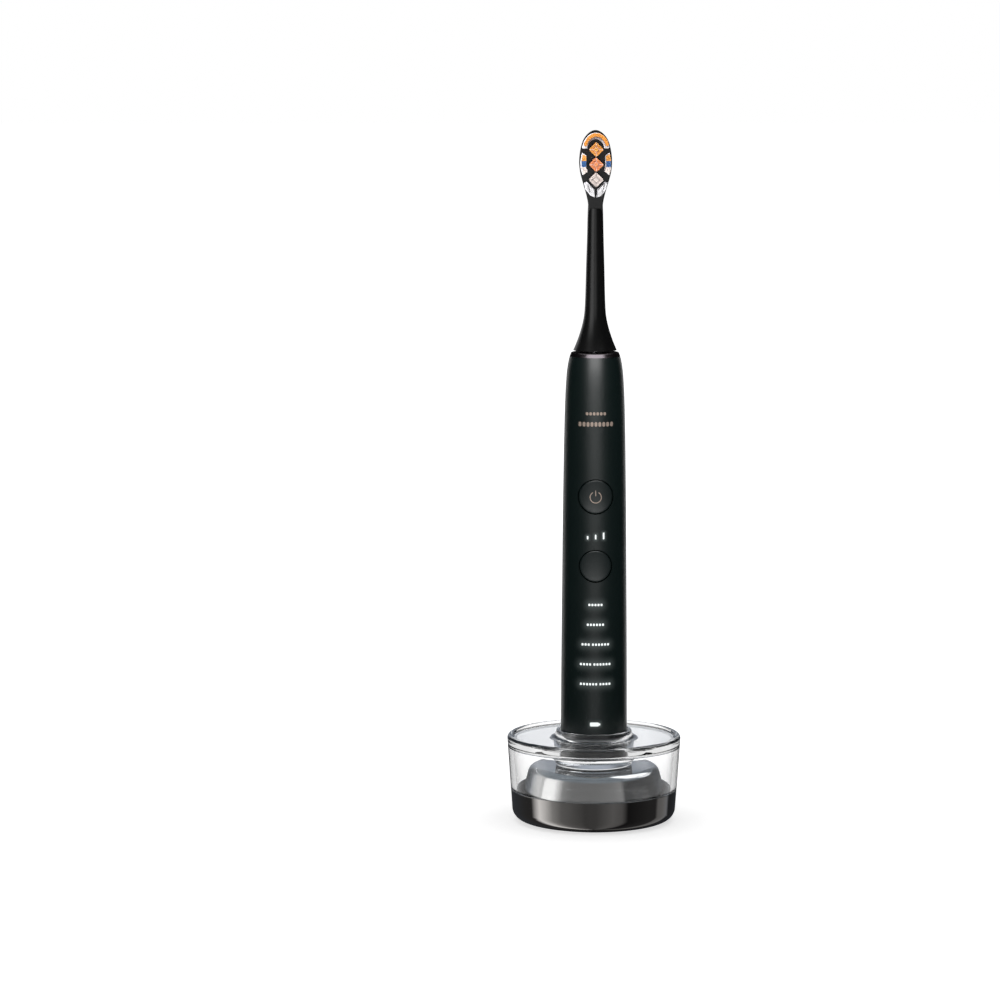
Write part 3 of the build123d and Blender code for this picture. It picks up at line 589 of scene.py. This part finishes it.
# %% [markdown]
# ## Dark chrome of the charger
#
# The band is plated in dark chrome over plastic: a metal with a dark colour and very little
# roughness, so it mirrors the tent's panels as crisp upright stripes. The dome is a lighter shade of
# the same plating. Plating over plastic is never perfectly flat, so a slow, shallow ripple and a
# few hairlines keep the stripes from looking computed.
#
# Inside the clear cover the band ends in a ledge that the plating doesn't reach. A mask made from
# the distance to the axis and the height turns the finish there to matt black plastic, which keeps
# bright streaks out of the cover's foot.

# %% Chrome finishes
BARE_BLACK, BARE_ROUGHNESS = (0.012, 0.012, 0.013), 0.85
LEDGE_EDGE, LEDGE_DEPTH = 1.2 * MM, 2.0 * MM       # in from the band's outside, down from its top


def dark_chrome(name, colour, roughness, matt_inside=None, matt_above=None):
    """Dark plating; inside a radius and above a height it turns to unplated matt black."""
    material, tree, shader, coords = new_material(name)
    wiped = use(tree, hairlines, coords, Reach=0.006)
    skin = use(tree, moulded_skin, coords, Grain_Size=0.010, Patch_Size=0.004)
    worn = blend(tree, skin["Patches"], tint(colour, 0.94), tint(colour, 1.06))
    plated = blend(tree, calc(tree, "MULTIPLY", wiped["Hairline"], 0.15), worn, tint(colour, 1.6))
    shader.inputs["Metallic"].default_value = 1.0
    polish = rough(tree, shader, wiped["Smudge"], roughness * 0.7, roughness * 1.5)
    if matt_inside:
        place = xyz(tree, coords)
        level = add(tree, "CombineXYZ", {"X": place["X"], "Y": place["Y"]})
        radius = add(tree, "VectorMath", {0: level.outputs[0]}, operation="LENGTH").outputs["Value"]
        bare = calc(tree, "MULTIPLY", calc(tree, "LESS_THAN", radius, matt_inside),
                    calc(tree, "GREATER_THAN", place["Z"], matt_above))
        plated = blend(tree, bare, plated, BARE_BLACK)
        feed(tree, shader.inputs["Metallic"], calc(tree, "SUBTRACT", 1.0, bare))
        feed(tree, shader.inputs["Roughness"],
             calc(tree, "MAXIMUM", polish, calc(tree, "MULTIPLY", bare, BARE_ROUGHNESS)))
    feed(tree, shader.inputs["Base Color"], plated)
    bump(tree, shader, skin["Grain"], 0.000012)
    return material


band_low, band_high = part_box("base_band")
finish["gunmetal_chrome"] = dark_chrome(
    "gunmetal_chrome", (0.205, 0.197, 0.190), 0.05,
    matt_inside=band_high.x - LEDGE_EDGE, matt_above=band_high.z - LEDGE_DEPTH)
finish["dome_chrome"] = dark_chrome("dome_chrome", (0.42, 0.42, 0.415), 0.05)
finish["trim_chrome"] = dark_chrome("trim_chrome", (0.115, 0.105, 0.112), 0.24)
print("chrome:", finish["gunmetal_chrome"].name)

# %% [markdown]
# ## Satin black of the handle
#
# The handle is painted a very dark green black with a satin lacquer. Its light comes through from
# behind: each lit mark has a soft halo, because a little of the light spreads inside the paint. The
# halo is a soft mark group for each sign, added together and fed to the emission colour. The list
# of signs is used again further down, where the signs themselves are cut.

# %% Where the signs are
shell_low, shell_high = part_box("handle_shell")
power_low, power_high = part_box("power_button")
mode_low, mode_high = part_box("mode_button")
power_z, mode_z = (power_low.z + power_high.z) / 2, (mode_low.z + mode_high.z) / 2

BAR_DROP, MODE_DROP = 17.4 * MM, 15.9 * MM     # below the middles of the power and mode buttons
bar_foot = power_z - BAR_DROP
bars = [(-3.25 * MM, 1.35 * MM), (0.0, 1.95 * MM), (3.25 * MM, 2.75 * MM)]     # across, height
BAR_WIDTH = 0.62 * MM
MODE_PITCH = 8.2 * MM
DASH, DASH_GAP, DASH_HEIGHT, GROUP_GAP = 0.80 * MM, 0.44 * MM, 0.95 * MM, 0.95 * MM
MODE_GROUPS = ((5,), (6,), (3, 6), (4, 6), (6, 4))     # how many dashes are in each group of a row
modes = []
for index, groups in enumerate(MODE_GROUPS):
    width = sum(groups) * (DASH + DASH_GAP) - DASH_GAP + (len(groups) - 1) * (GROUP_GAP - DASH_GAP)
    modes.append((mode_z - MODE_DROP - index * MODE_PITCH, width, groups))
BATTERY_RISE = 13.3 * MM
battery_z = shell_low.z + BATTERY_RISE
BATTERY_WIDTH, BATTERY_HEIGHT = 4.2 * MM, 1.6 * MM
print("signs:", len(bars) + len(modes) + 1, "power at", power_z, "mode at", mode_z)


# %% Satin lacquer
HALO_WHITE = (0.86, 1.0, 0.98)


def satin(name, colour, roughness, glow_marks=()):
    """Satin paint; each glow mark is (x, z, half width, half height, spread, strength)."""
    material, tree, shader, coords = new_material(name)
    skin = use(tree, moulded_skin, coords, Grain_Size=0.00012, Patch_Size=0.012)
    wiped = use(tree, hairlines, coords, Reach=0.010)
    feed(tree, shader.inputs["Base Color"],
         blend(tree, skin["Patches"], tint(colour, 0.85), tint(colour, 1.15)))
    rough(tree, shader, wiped["Smudge"], roughness * 0.94, roughness * 1.06)
    bump(tree, shader, skin["Grain"], 0.0000015)
    total = None
    for x, z, half_width, half_height, spread, strength in glow_marks:
        glow = use(tree, soft_mark, coords, Centre_X=x, Centre_Z=z, Half_Width=half_width,
                   Half_Height=half_height, Spread=spread)["Glow"]
        glow = calc(tree, "MULTIPLY", glow, strength)
        total = glow if total is None else calc(tree, "ADD", total, glow)
    if total is not None:
        feed(tree, shader.inputs["Emission Color"], blend(tree, total, (0.0, 0.0, 0.0), HALO_WHITE))
        shader.inputs["Emission Strength"].default_value = 1.0
    return material


halos = [(x, bar_foot + height / 2, BAR_WIDTH / 2, height / 2, 1.5 * MM, 0.07)
         for x, height in bars]
halos += [(0.0, z, width / 2 - 0.5 * MM, 0.4 * MM, 3.6 * MM, 0.055) for z, width, groups in modes]
halos += [(0.0, battery_z, BATTERY_WIDTH / 2, BATTERY_HEIGHT / 2, 1.6 * MM, 0.05)]
finish["shell_black"] = satin("shell_black", (0.0012, 0.0042, 0.0040), 0.38, halos)
finish["button_black"] = satin("button_black", (0.0020, 0.0050, 0.0050), 0.38)
finish["neck_black"] = satin("neck_black", (0.0040, 0.0040, 0.0042), 0.30)
print("halos:", len(halos))

# %% [markdown]
# ## Nylon filaments
#
# A bristle cluster is a bundle of coloured nylon filaments. Each filament's colour is painted
# darker and more strongly coloured from its tip towards its root, as painted shade for the shadow
# between its neighbours. The colour varies from filament to filament, read from a fine Voronoi
# pattern seen from the front, and from tip to root with the distance to the front.

# %% Bristle finishes
def nylon(name, colour, root_shade_colour, bands=None, petals_at=None, seam=None):
    """Coloured filaments; bands are (z, colour) from low to high, petals_at centres a petal cut."""
    material, tree, shader, coords = new_material(name)
    place = xyz(tree, coords)
    flat = add(tree, "CombineXYZ", {"X": place["X"], "Z": place["Z"]})
    cells = add(tree, "TexVoronoi", {"Vector": flat.outputs[0], "Scale": 4300.0})
    each = add(tree, "SeparateColor", {"Color": cells.outputs["Color"]})
    tip = remap(tree, place["Y"], ROOT_Y, TIP_Y)
    body, shaded_root = colour, root_shade_colour
    if bands:
        low, high = bands[0][0], bands[-1][0]
        body = ramp(tree, remap(tree, place["Z"], low, high),
                    [((z - low) / (high - low), shade) for z, shade in bands])
        shaded_root = blend(tree, 0.55, body, root_shade_colour)
    if petals_at:
        cut = use(tree, petal_cut, coords, Centre_Z=petals_at)
        # Painted shade: each petal darkens towards the core, where it slopes down into it; the core
        # itself is painted a little lighter.
        petal = blend(tree, calc(tree, "POWER", cut["Outward"], 0.7),
                      blend(tree, 0.85, colour, root_shade_colour), tint(colour, 1.05))
        inner = calc(tree, "LESS_THAN", cut["Outward"], 0.001)
        body = blend(tree, inner, petal, tint(colour, 1.08))
        body = blend(tree, calc(tree, "MULTIPLY", cut["Line"], 0.9), body, seam)
    body = blend(tree, calc(tree, "MULTIPLY", each.outputs["Red"], 0.18), body, shaded_root)
    # Painted shade: the colour runs from the root shade colour at the root to the body colour at the
    # tip.
    feed(tree, shader.inputs["Base Color"],
         blend(tree, calc(tree, "POWER", tip, 1.5), shaded_root, body))
    rough(tree, shader, each.outputs["Green"], 0.28, 0.5)
    shader.inputs["Sheen Weight"].default_value = 0.1
    return material


def middle(node):
    """Height of the middle of a CAD node."""
    low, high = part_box(node)
    return (low.z + high.z) / 2


arc_low, arc_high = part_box("bristles_arc")
side_low, side_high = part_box("bristles_side")
ROOT_Y, TIP_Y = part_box("bristle_carriers")[0].y, arc_low.y
ORANGE, BLUE, CREAM = (0.93, 0.42, 0.06), (0.002, 0.12, 0.38), (0.93, 0.83, 0.78)
span = side_high.z - side_low.z
BANDS = ((0.0, CREAM), (0.37, CREAM), (0.39, BLUE), (0.67, BLUE), (0.69, ORANGE), (1.0, ORANGE))
bands = [(side_low.z + part * span, colour) for part, colour in BANDS]
PALE_SEAM, GREY_SEAM = (0.86, 0.74, 0.68), (0.42, 0.38, 0.36)
for name, colour, root_shade_colour, seam, level in [
        ("bristle_orange", (0.98, 0.50, 0.11), (0.50, 0.13, 0.01), PALE_SEAM, "upper"),
        ("bristle_peach", (0.98, 0.42, 0.17), (0.55, 0.12, 0.03), PALE_SEAM, "middle"),
        ("bristle_cream", CREAM, (0.52, 0.44, 0.41), GREY_SEAM, "lower")]:
    finish[name] = nylon(name, colour, root_shade_colour, petals_at=middle(f"bristles_centre_{level}"),
                         seam=seam)
finish["bristle_arc"] = nylon("bristle_arc", (0.90, 0.36, 0.04), (0.42, 0.12, 0.012))
finish["bristle_white"] = nylon("bristle_white", (0.93, 0.92, 0.93), (0.55, 0.54, 0.56))
finish["bristle_mixed"] = nylon("bristle_mixed", CREAM, (0.30, 0.22, 0.2), bands)
finish["carrier_white"] = plastic("carrier_white", (0.86, 0.85, 0.90), 0.35)
print("bristle finishes:", [name for name in finish if name.startswith("bristle")])

# %% [markdown]
# ## Dress the CAD parts
#
# Every CAD part already has a material slot named after its finish. Assigning the new material to
# that slot changes its looks and leaves its mesh alone.

# %% Assign the finishes
for name, node in nodes.items():
    for slot in node.material_slots:
        slot.material = finish[slot.material.name.split(".")[0]]
print("dressed:", len(nodes), "parts with", len(finish), "finishes")

# %% [markdown]
# ## Making pieces
#
# Each new piece is built with bmesh operators, at its place, and its object stays at the origin.
# One helper below turns a bmesh into a piece, gives it a look and the body it moves with, and
# prints its size. The others find the front of a part by casting a ray, so that a piece can follow
# the curve it lies on.

# %% Helpers that make pieces
def finish_piece(bm, name, body, slot, look=None, replaces=()):
    """Turn a bmesh into a piece that rides on a body; its look is the slot's unless named."""
    piece = make_object(bm, name, finish[look or slot])
    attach(piece, body)
    if replaces:
        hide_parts(*replaces)
    print(name, "faces:", len(piece.data.polygons),
          "size mm:", [round(side * 1000, 2) for side in piece.dimensions])


def front_of(tree):
    """A function that finds where a line from the front meets a BVH tree, and the normal there."""
    def touch(x, z):
        return tree.ray_cast(Vector((x, -0.1, z)), Vector((0.0, 1.0, 0.0)))[:2]
    return touch


def part_front(name):
    """The same for a CAD part."""
    bm = bmesh.new()
    bm.from_mesh(nodes[name].data)
    tree = BVHTree.FromBMesh(bm)
    bm.free()
    return front_of(tree)


# %% [markdown]
# ## Bristles
#
# A real cluster is a few hundred filaments anchored in its carrier, with rounded tips cut to a
# gentle profile. The CAD block gives the outline and the length. Filaments stand on a honeycomb
# lattice inside that outline, each a five-sided tapered cone with a small random lean and
# length. Five sides are enough for something a fifth of a millimetre thick that is repeated
# thousands of times.

# %% Plant one cluster
PITCH = 0.21 * MM
HONEYCOMB = 0.866              # a honeycomb's row spacing over its pitch
FILAMENT = 0.108 * MM          # radius at the root
JITTER = 0.06                  # of the pitch
UNEVEN = 0.22 * MM             # the most that a filament is short
LEAN = 0.08                    # mm, sideways from root to tip
FRONT_DEPTH = 0.5 * MM         # a ray that lands deeper than this has missed the block's front
SUNK = 0.02 * MM               # past the face of the carrier


def plant(name, block, slot, seed, keep=None, trim=None, look=None, rake=0.0):
    """Fill a CAD block's outline with filaments; keep(x, z) leaves gaps, trim(x, z) shortens.

    A rake leans every tip towards the head's end by that distance.
    """
    draw = random.Random(seed)
    touch = part_front(block)
    low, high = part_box(block)
    bm = bmesh.new()
    rows = int((high.z - low.z) / (PITCH * HONEYCOMB)) + 2
    columns = int((high.x - low.x) / PITCH) + 2
    for row in range(rows):
        for column in range(columns):
            x = low.x + (column + 0.5 * (row % 2)) * PITCH + draw.uniform(-JITTER, JITTER) * PITCH
            z = low.z + row * PITCH * HONEYCOMB + draw.uniform(-JITTER, JITTER) * PITCH
            length_cut = draw.uniform(0.0, UNEVEN)
            lean = Vector((draw.uniform(-LEAN, LEAN) * MM, 0.0, draw.uniform(-LEAN, LEAN) * MM))
            hit, normal = touch(x, z)
            if hit is None or hit.y > low.y + FRONT_DEPTH or (keep and not keep(x, z)):
                continue
            tip = Vector((x, low.y + length_cut + (trim(x, z) if trim else 0.0), z + rake))
            root = Vector((x, ROOT_Y - SUNK, z)) - lean
            axis = tip - root
            turn = axis.to_track_quat("Z", "Y").to_matrix().to_4x4()
            bmesh.ops.create_cone(bm, cap_ends=True, segments=5, radius1=FILAMENT,
                                  radius2=FILAMENT * 0.8, depth=axis.length,
                                  matrix=Matrix.Translation((tip + root) / 2) @ turn)
    for face in bm.faces:
        face.smooth = len(face.verts) == 4
    finish_piece(bm, name, "brush_head", slot, look, [block])


# %% [markdown]
# The square clusters stand on a corner. Each has a small square core and four petals round it. The
# petals slope down a little towards the core, and the petal cut in their finish draws the pale lines
# between them. The finish also paints each petal darker towards the core, as painted shade where it
# slopes down into it, and paints the core a little lighter.

# %% Plant the square clusters
CORE = 0.95 * MM
PETAL_DROP, PETAL_LENGTH = 0.75 * MM, 2.0 * MM

for level, slot in (("upper", "bristle_orange"), ("middle", "bristle_peach"),
                    ("lower", "bristle_cream")):
    block = f"bristles_centre_{level}"
    centre_z = middle(block)

    def petal_slope(x, z):
        reach = abs(x) + abs(z - centre_z)
        return 0.0 if reach < CORE else max(0.0, PETAL_DROP * (1.0 - (reach - CORE) / PETAL_LENGTH))

    plant(f"filaments_{level}", block, slot, 11 + len(level), trim=petal_slope)


# %% Plant the arc, the side and the heel clusters
ARC_CENTRE_DROP = 6.75 * MM                  # from the top of the arc's block
ARC_INNER = (4.15 * MM, 5.35 * MM)           # the inner edge's half width and half height
ARC_END, ARC_SIDE = 0.7 * MM, 4.9 * MM       # above the block's foot, and out from the middle line
ARC_RAKE = 0.45 * MM
SLIT_ACROSS, SLIT_SLOPE, SLIT_HALF = 2.1 * MM, 0.25, 0.17 * MM
heel_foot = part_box("bristles_heel")[0].z


def outer_arc(x, z):
    """The outer part of the arc's carrier, ending a little before its two ends."""
    across, up = x / ARC_INNER[0], (z - (arc_high.z - ARC_CENTRE_DROP)) / ARC_INNER[1]
    return across * across + up * up > 1.0 and z > arc_low.z + ARC_END and abs(x) < ARC_SIDE


def heel_slit(x, z):
    """All but a narrow slit that splits each heel wedge in two."""
    return abs((abs(x) - SLIT_ACROSS) - SLIT_SLOPE * (z - heel_foot)) > SLIT_HALF


plant("filaments_arc", "bristles_arc", "bristle_orange", 3, outer_arc, look="bristle_arc",
      rake=ARC_RAKE)
plant("filaments_side", "bristles_side", "bristle_mixed", 4)
plant("filaments_heel", "bristles_heel", "bristle_white", 5, heel_slit)

# %% [markdown]
# ## Buttons
#
# Both buttons are flush with the handle and shallowly dished, so a fingertip finds them. A dished
# disc is a turned shape: its profile is spun round the button's axis, and then every point is moved
# to follow the handle's curve, which the CAD button's own front gives.

# %% Turn the dished buttons
def spun(profile):
    """A bmesh of a (radius, depth) profile spun round the Y axis; depth runs into the handle."""
    bm = bmesh.new()
    points = [bm.verts.new((radius, depth, 0.0)) for radius, depth in profile]
    edges = [bm.edges.new(pair) for pair in zip(points, points[1:])]
    bmesh.ops.spin(bm, geom=points + edges, cent=(0, 0, 0), axis=(0, 1, 0), angle=2 * math.pi,
                   steps=96, use_merge=True)
    bmesh.ops.remove_doubles(bm, verts=bm.verts, dist=1e-7)
    return bm


POWER_HOLE, MODE_HOLE = 7.25 * MM, 6.8 * MM    # radii of the holes in the shell
GAP = 0.4 * MM                                 # between a cap and its hole
DISH, DISHED, RINGS = 0.35 * MM, 0.94, 14      # depth, part of the radius, rings of faces
FLANGE = 0.6 * MM                              # thickness of the rim behind the shell
FOLLOWS = 1.2 * MM                             # down to this depth a cap follows the handle's curve
SUNK_CAP = 0.02 * MM                           # below the CAD button's front
INSIDE = 0.97                                  # a ray at the very edge would miss the CAD button

for name, low, high, hole in (("power", power_low, power_high, POWER_HOLE),
                              ("mode", mode_low, mode_high, MODE_HOLE)):
    radius, flange = hole - GAP, (high.x - low.x) / 2
    centre_z = (low.z + high.z) / 2
    touch = part_front(f"{name}_button")
    front_y = touch(0.0, centre_z)[0].y
    back = high.y - front_y
    dish = [(radius * DISHED * index / RINGS, DISH * (1 - (index / RINGS) ** 2))
            for index in range(RINGS + 1)]
    rounded_edge = [(radius * 0.97, 0.01 * MM), (radius * 0.99, 0.06 * MM), (radius, 0.2 * MM)]
    rear = [(radius, back - FLANGE), (flange, back - FLANGE), (flange, back), (0.0, back)]
    bm = spun(dish + rounded_edge + rear)
    for vert in bm.verts:
        x, depth, z = vert.co
        if depth < FOLLOWS:
            vert.co.y = depth + touch(x * INSIDE, centre_z + z * INSIDE)[0].y + SUNK_CAP
        else:
            vert.co.y = depth + front_y
        vert.co.z += centre_z
    bmesh.ops.recalc_face_normals(bm, faces=bm.faces)
    for face in bm.faces:
        face.smooth = True
    finish_piece(bm, f"{name}_cap", f"{name}_button", "button_black", replaces=[f"{name}_button"])

# %% [markdown]
# ## Lit signs
#
# The signs are thin raised prints that follow the handle. Each starts flat, from a grid with
# rounded corners. A wide flat face can't follow a curve and would sink into the shell, so it is
# first cut into narrow columns. Then it gets a little thickness, and each point is laid on the
# shell by a ray from the front. In place of words, each mode has a row of small rounded dashes of
# the same width, which says nothing but keeps the look of the panel.

# %% Cut and lay flat shapes
COLUMN = 0.4 * MM
LIFT, SINK = 0.035 * MM, 0.03 * MM      # above and below the surface
UPRIGHT = Matrix.Rotation(math.radians(90), 3, "X")


def rounded_bar(bm, x, z, width, height, corner):
    """Add a flat rounded rectangle in the XZ plane, as a face."""
    made = bmesh.ops.create_grid(bm, x_segments=1, y_segments=1, size=0.5)
    corners = made["verts"]
    bmesh.ops.scale(bm, vec=(width, height, 1.0), verts=corners)
    bmesh.ops.rotate(bm, cent=(0, 0, 0), matrix=UPRIGHT, verts=corners)
    bmesh.ops.translate(bm, vec=(x, 0.0, z), verts=corners)
    bmesh.ops.bevel(bm, geom=corners, offset=corner, affect="VERTICES",
                    segments=5, profile=0.5, material=-1)


def lay(bm, touch):
    """Cut flat shapes into columns and thicken them into a print that follows the surface."""
    low, high = (limit(vert.co.x for vert in bm.verts) for limit in (min, max))
    for index in range(1, math.ceil((high - low) / COLUMN)):
        bmesh.ops.bisect_plane(bm, geom=bm.verts[:] + bm.edges[:] + bm.faces[:], dist=1e-7,
                               plane_co=(low + index * COLUMN, 0, 0), plane_no=(1, 0, 0))
    pushed = bmesh.ops.extrude_face_region(bm, geom=bm.faces[:])
    front = {element for element in pushed["geom"] if isinstance(element, bmesh.types.BMVert)}
    for vert in bm.verts:
        point, normal = touch(vert.co.x, vert.co.z)
        if normal.y > 0:
            normal = -normal
        vert.co = point + normal * (LIFT if vert in front else -SINK)


shell_front = part_front("handle_shell")
print("shell front at the power button:", shell_front(0.0, power_z)[0])

# %% [markdown]
# The lit signs glow white and slightly unevenly, as light does that comes through a thin layer of
# paint. The rose gold is a partly metallic print with a fine grain.

# %% Lit and rose gold finishes
material, tree, shader, coords = new_material("lit_white")
skin = use(tree, moulded_skin, coords, Grain_Size=0.0004, Patch_Size=0.002)
shader.inputs["Base Color"].default_value = (0.35, 0.37, 0.37, 1.0)
feed(tree, shader.inputs["Emission Color"],
     blend(tree, skin["Patches"], (0.74, 0.80, 0.79), (0.95, 1.0, 0.99)))
shader.inputs["Emission Strength"].default_value = 0.66
rough(tree, shader, skin["Grain"], 0.3, 0.5)
finish["lit_white"] = material

material, tree, shader, coords = new_material("rose_gold")
skin = use(tree, moulded_skin, coords, Grain_Size=0.00025, Patch_Size=0.003)
feed(tree, shader.inputs["Base Color"],
     blend(tree, skin["Patches"], (0.21, 0.165, 0.135), (0.27, 0.21, 0.175)))
shader.inputs["Metallic"].default_value = 0.35
rough(tree, shader, skin["Grain"], 0.4, 0.55)
bump(tree, shader, skin["Grain"], 0.000004)
finish["rose_gold"] = material
print("sign finishes ready")


# %% Lay the intensity bars, the mode rows and the battery sign
def sign(bm, name, look="lit_white", slot="led_white", body="handle", touch=shell_front):
    """Lay flat shapes on a surface as one sign."""
    lay(bm, touch)
    bmesh.ops.recalc_face_normals(bm, faces=bm.faces)
    finish_piece(bm, name, body, slot, look)


for index, (x, height) in enumerate(bars):
    bm = bmesh.new()
    rounded_bar(bm, x, bar_foot + height / 2, BAR_WIDTH, height, 0.25 * MM)
    sign(bm, f"intensity_bar_{index + 1}")

for index, (z, width, groups) in enumerate(modes):
    bm = bmesh.new()
    x = -width / 2
    for count in groups:
        for place in range(count):
            rounded_bar(bm, x + DASH / 2, z, DASH, DASH_HEIGHT, 0.28 * MM)
            x += DASH + DASH_GAP
        x += GROUP_GAP - DASH_GAP
    sign(bm, f"mode_row_{index + 1}")

TERMINAL, NECK = 0.7 * MM, 0.6 * MM     # the battery's end piece, and how much of it stands out
bm = bmesh.new()
rounded_bar(bm, -NECK / 2, battery_z, BATTERY_WIDTH - NECK, BATTERY_HEIGHT, 0.4 * MM)
rounded_bar(bm, (BATTERY_WIDTH - TERMINAL) / 2, battery_z, TERMINAL, 0.55 * BATTERY_HEIGHT,
            0.15 * MM)
sign(bm, "battery_sign")

# %% [markdown]
# Above the power button the real handle carries printing in rose gold. It is replaced with two
# plain rows of rounded dashes of the same height and width.

# %% Print the accent
ACCENT_ROWS = [         # height over the power button, width, height of a dash, number of dashes
    (34.0 * MM, 8.6 * MM, 1.25 * MM, 6), (29.7 * MM, 14.4 * MM, 1.9 * MM, 9)]
bm = bmesh.new()
for rise, width, height, count in ACCENT_ROWS:
    pitch = width / count
    for place in range(count):
        rounded_bar(bm, (place + 0.5) * pitch - width / 2, power_z + rise, 0.72 * pitch, height,
                    0.3 * height)
sign(bm, "accent_dashes", "rose_gold", "trim_chrome")

# %% [markdown]
# The power sign is a ring, open at the top, with a short upright bar in the opening. It is printed
# in rose gold on the dished button, so it moves with the button.

# %% Print the power sign
RING_OUTER, RING_STROKE, RING_DROP = 2.45 * MM, 0.33 * MM, 0.2 * MM
OPENING = math.radians(31)               # to either side of the top
STEM_RISE, STEM_HEIGHT = 1.45 * MM, 2.3 * MM
power_cap = BVHTree.FromObject(bpy.data.objects["power_cap"], bpy.context.evaluated_depsgraph_get())

bm = bmesh.new()
for radius in (RING_OUTER, RING_OUTER - RING_STROKE):
    bmesh.ops.create_circle(bm, segments=72, radius=radius)
bmesh.ops.bridge_loops(bm, edges=bm.edges[:])
opened = [face for face in bm.faces
          if abs(math.atan2(face.calc_center_median().x, face.calc_center_median().y)) < OPENING]
bmesh.ops.delete(bm, geom=opened, context="FACES")
bmesh.ops.rotate(bm, cent=(0, 0, 0), matrix=UPRIGHT, verts=bm.verts)
bmesh.ops.translate(bm, vec=(0.0, 0.0, power_z - RING_DROP), verts=bm.verts)
rounded_bar(bm, 0.0, power_z + STEM_RISE, RING_STROKE, STEM_HEIGHT, 0.14 * MM)
sign(bm, "power_sign", "rose_gold", "trim_chrome", "power_button", front_of(power_cap))

# %% [markdown]
# ## Share the lights
#
# With every piece made, the light sets are filled: the charger with its cover, the handle with all
# that it holds, its trim ring, the neck, and the bristles with their white carriers.

# %% Fill the light sets
for piece in [o for o in bpy.context.scene.objects if o.type == "MESH" and o.get("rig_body")]:
    body = piece["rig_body"]
    chosen = "charger" if body in ("charger_base", "clear_cover") else "handle"
    if piece.name == "neck_ring":
        chosen = "trim"
    elif body == "brush_head":
        chosen = "bristles" if piece.name.startswith(("filaments", "bristle")) else "neck"
    lit_sets[chosen].objects.link(piece)
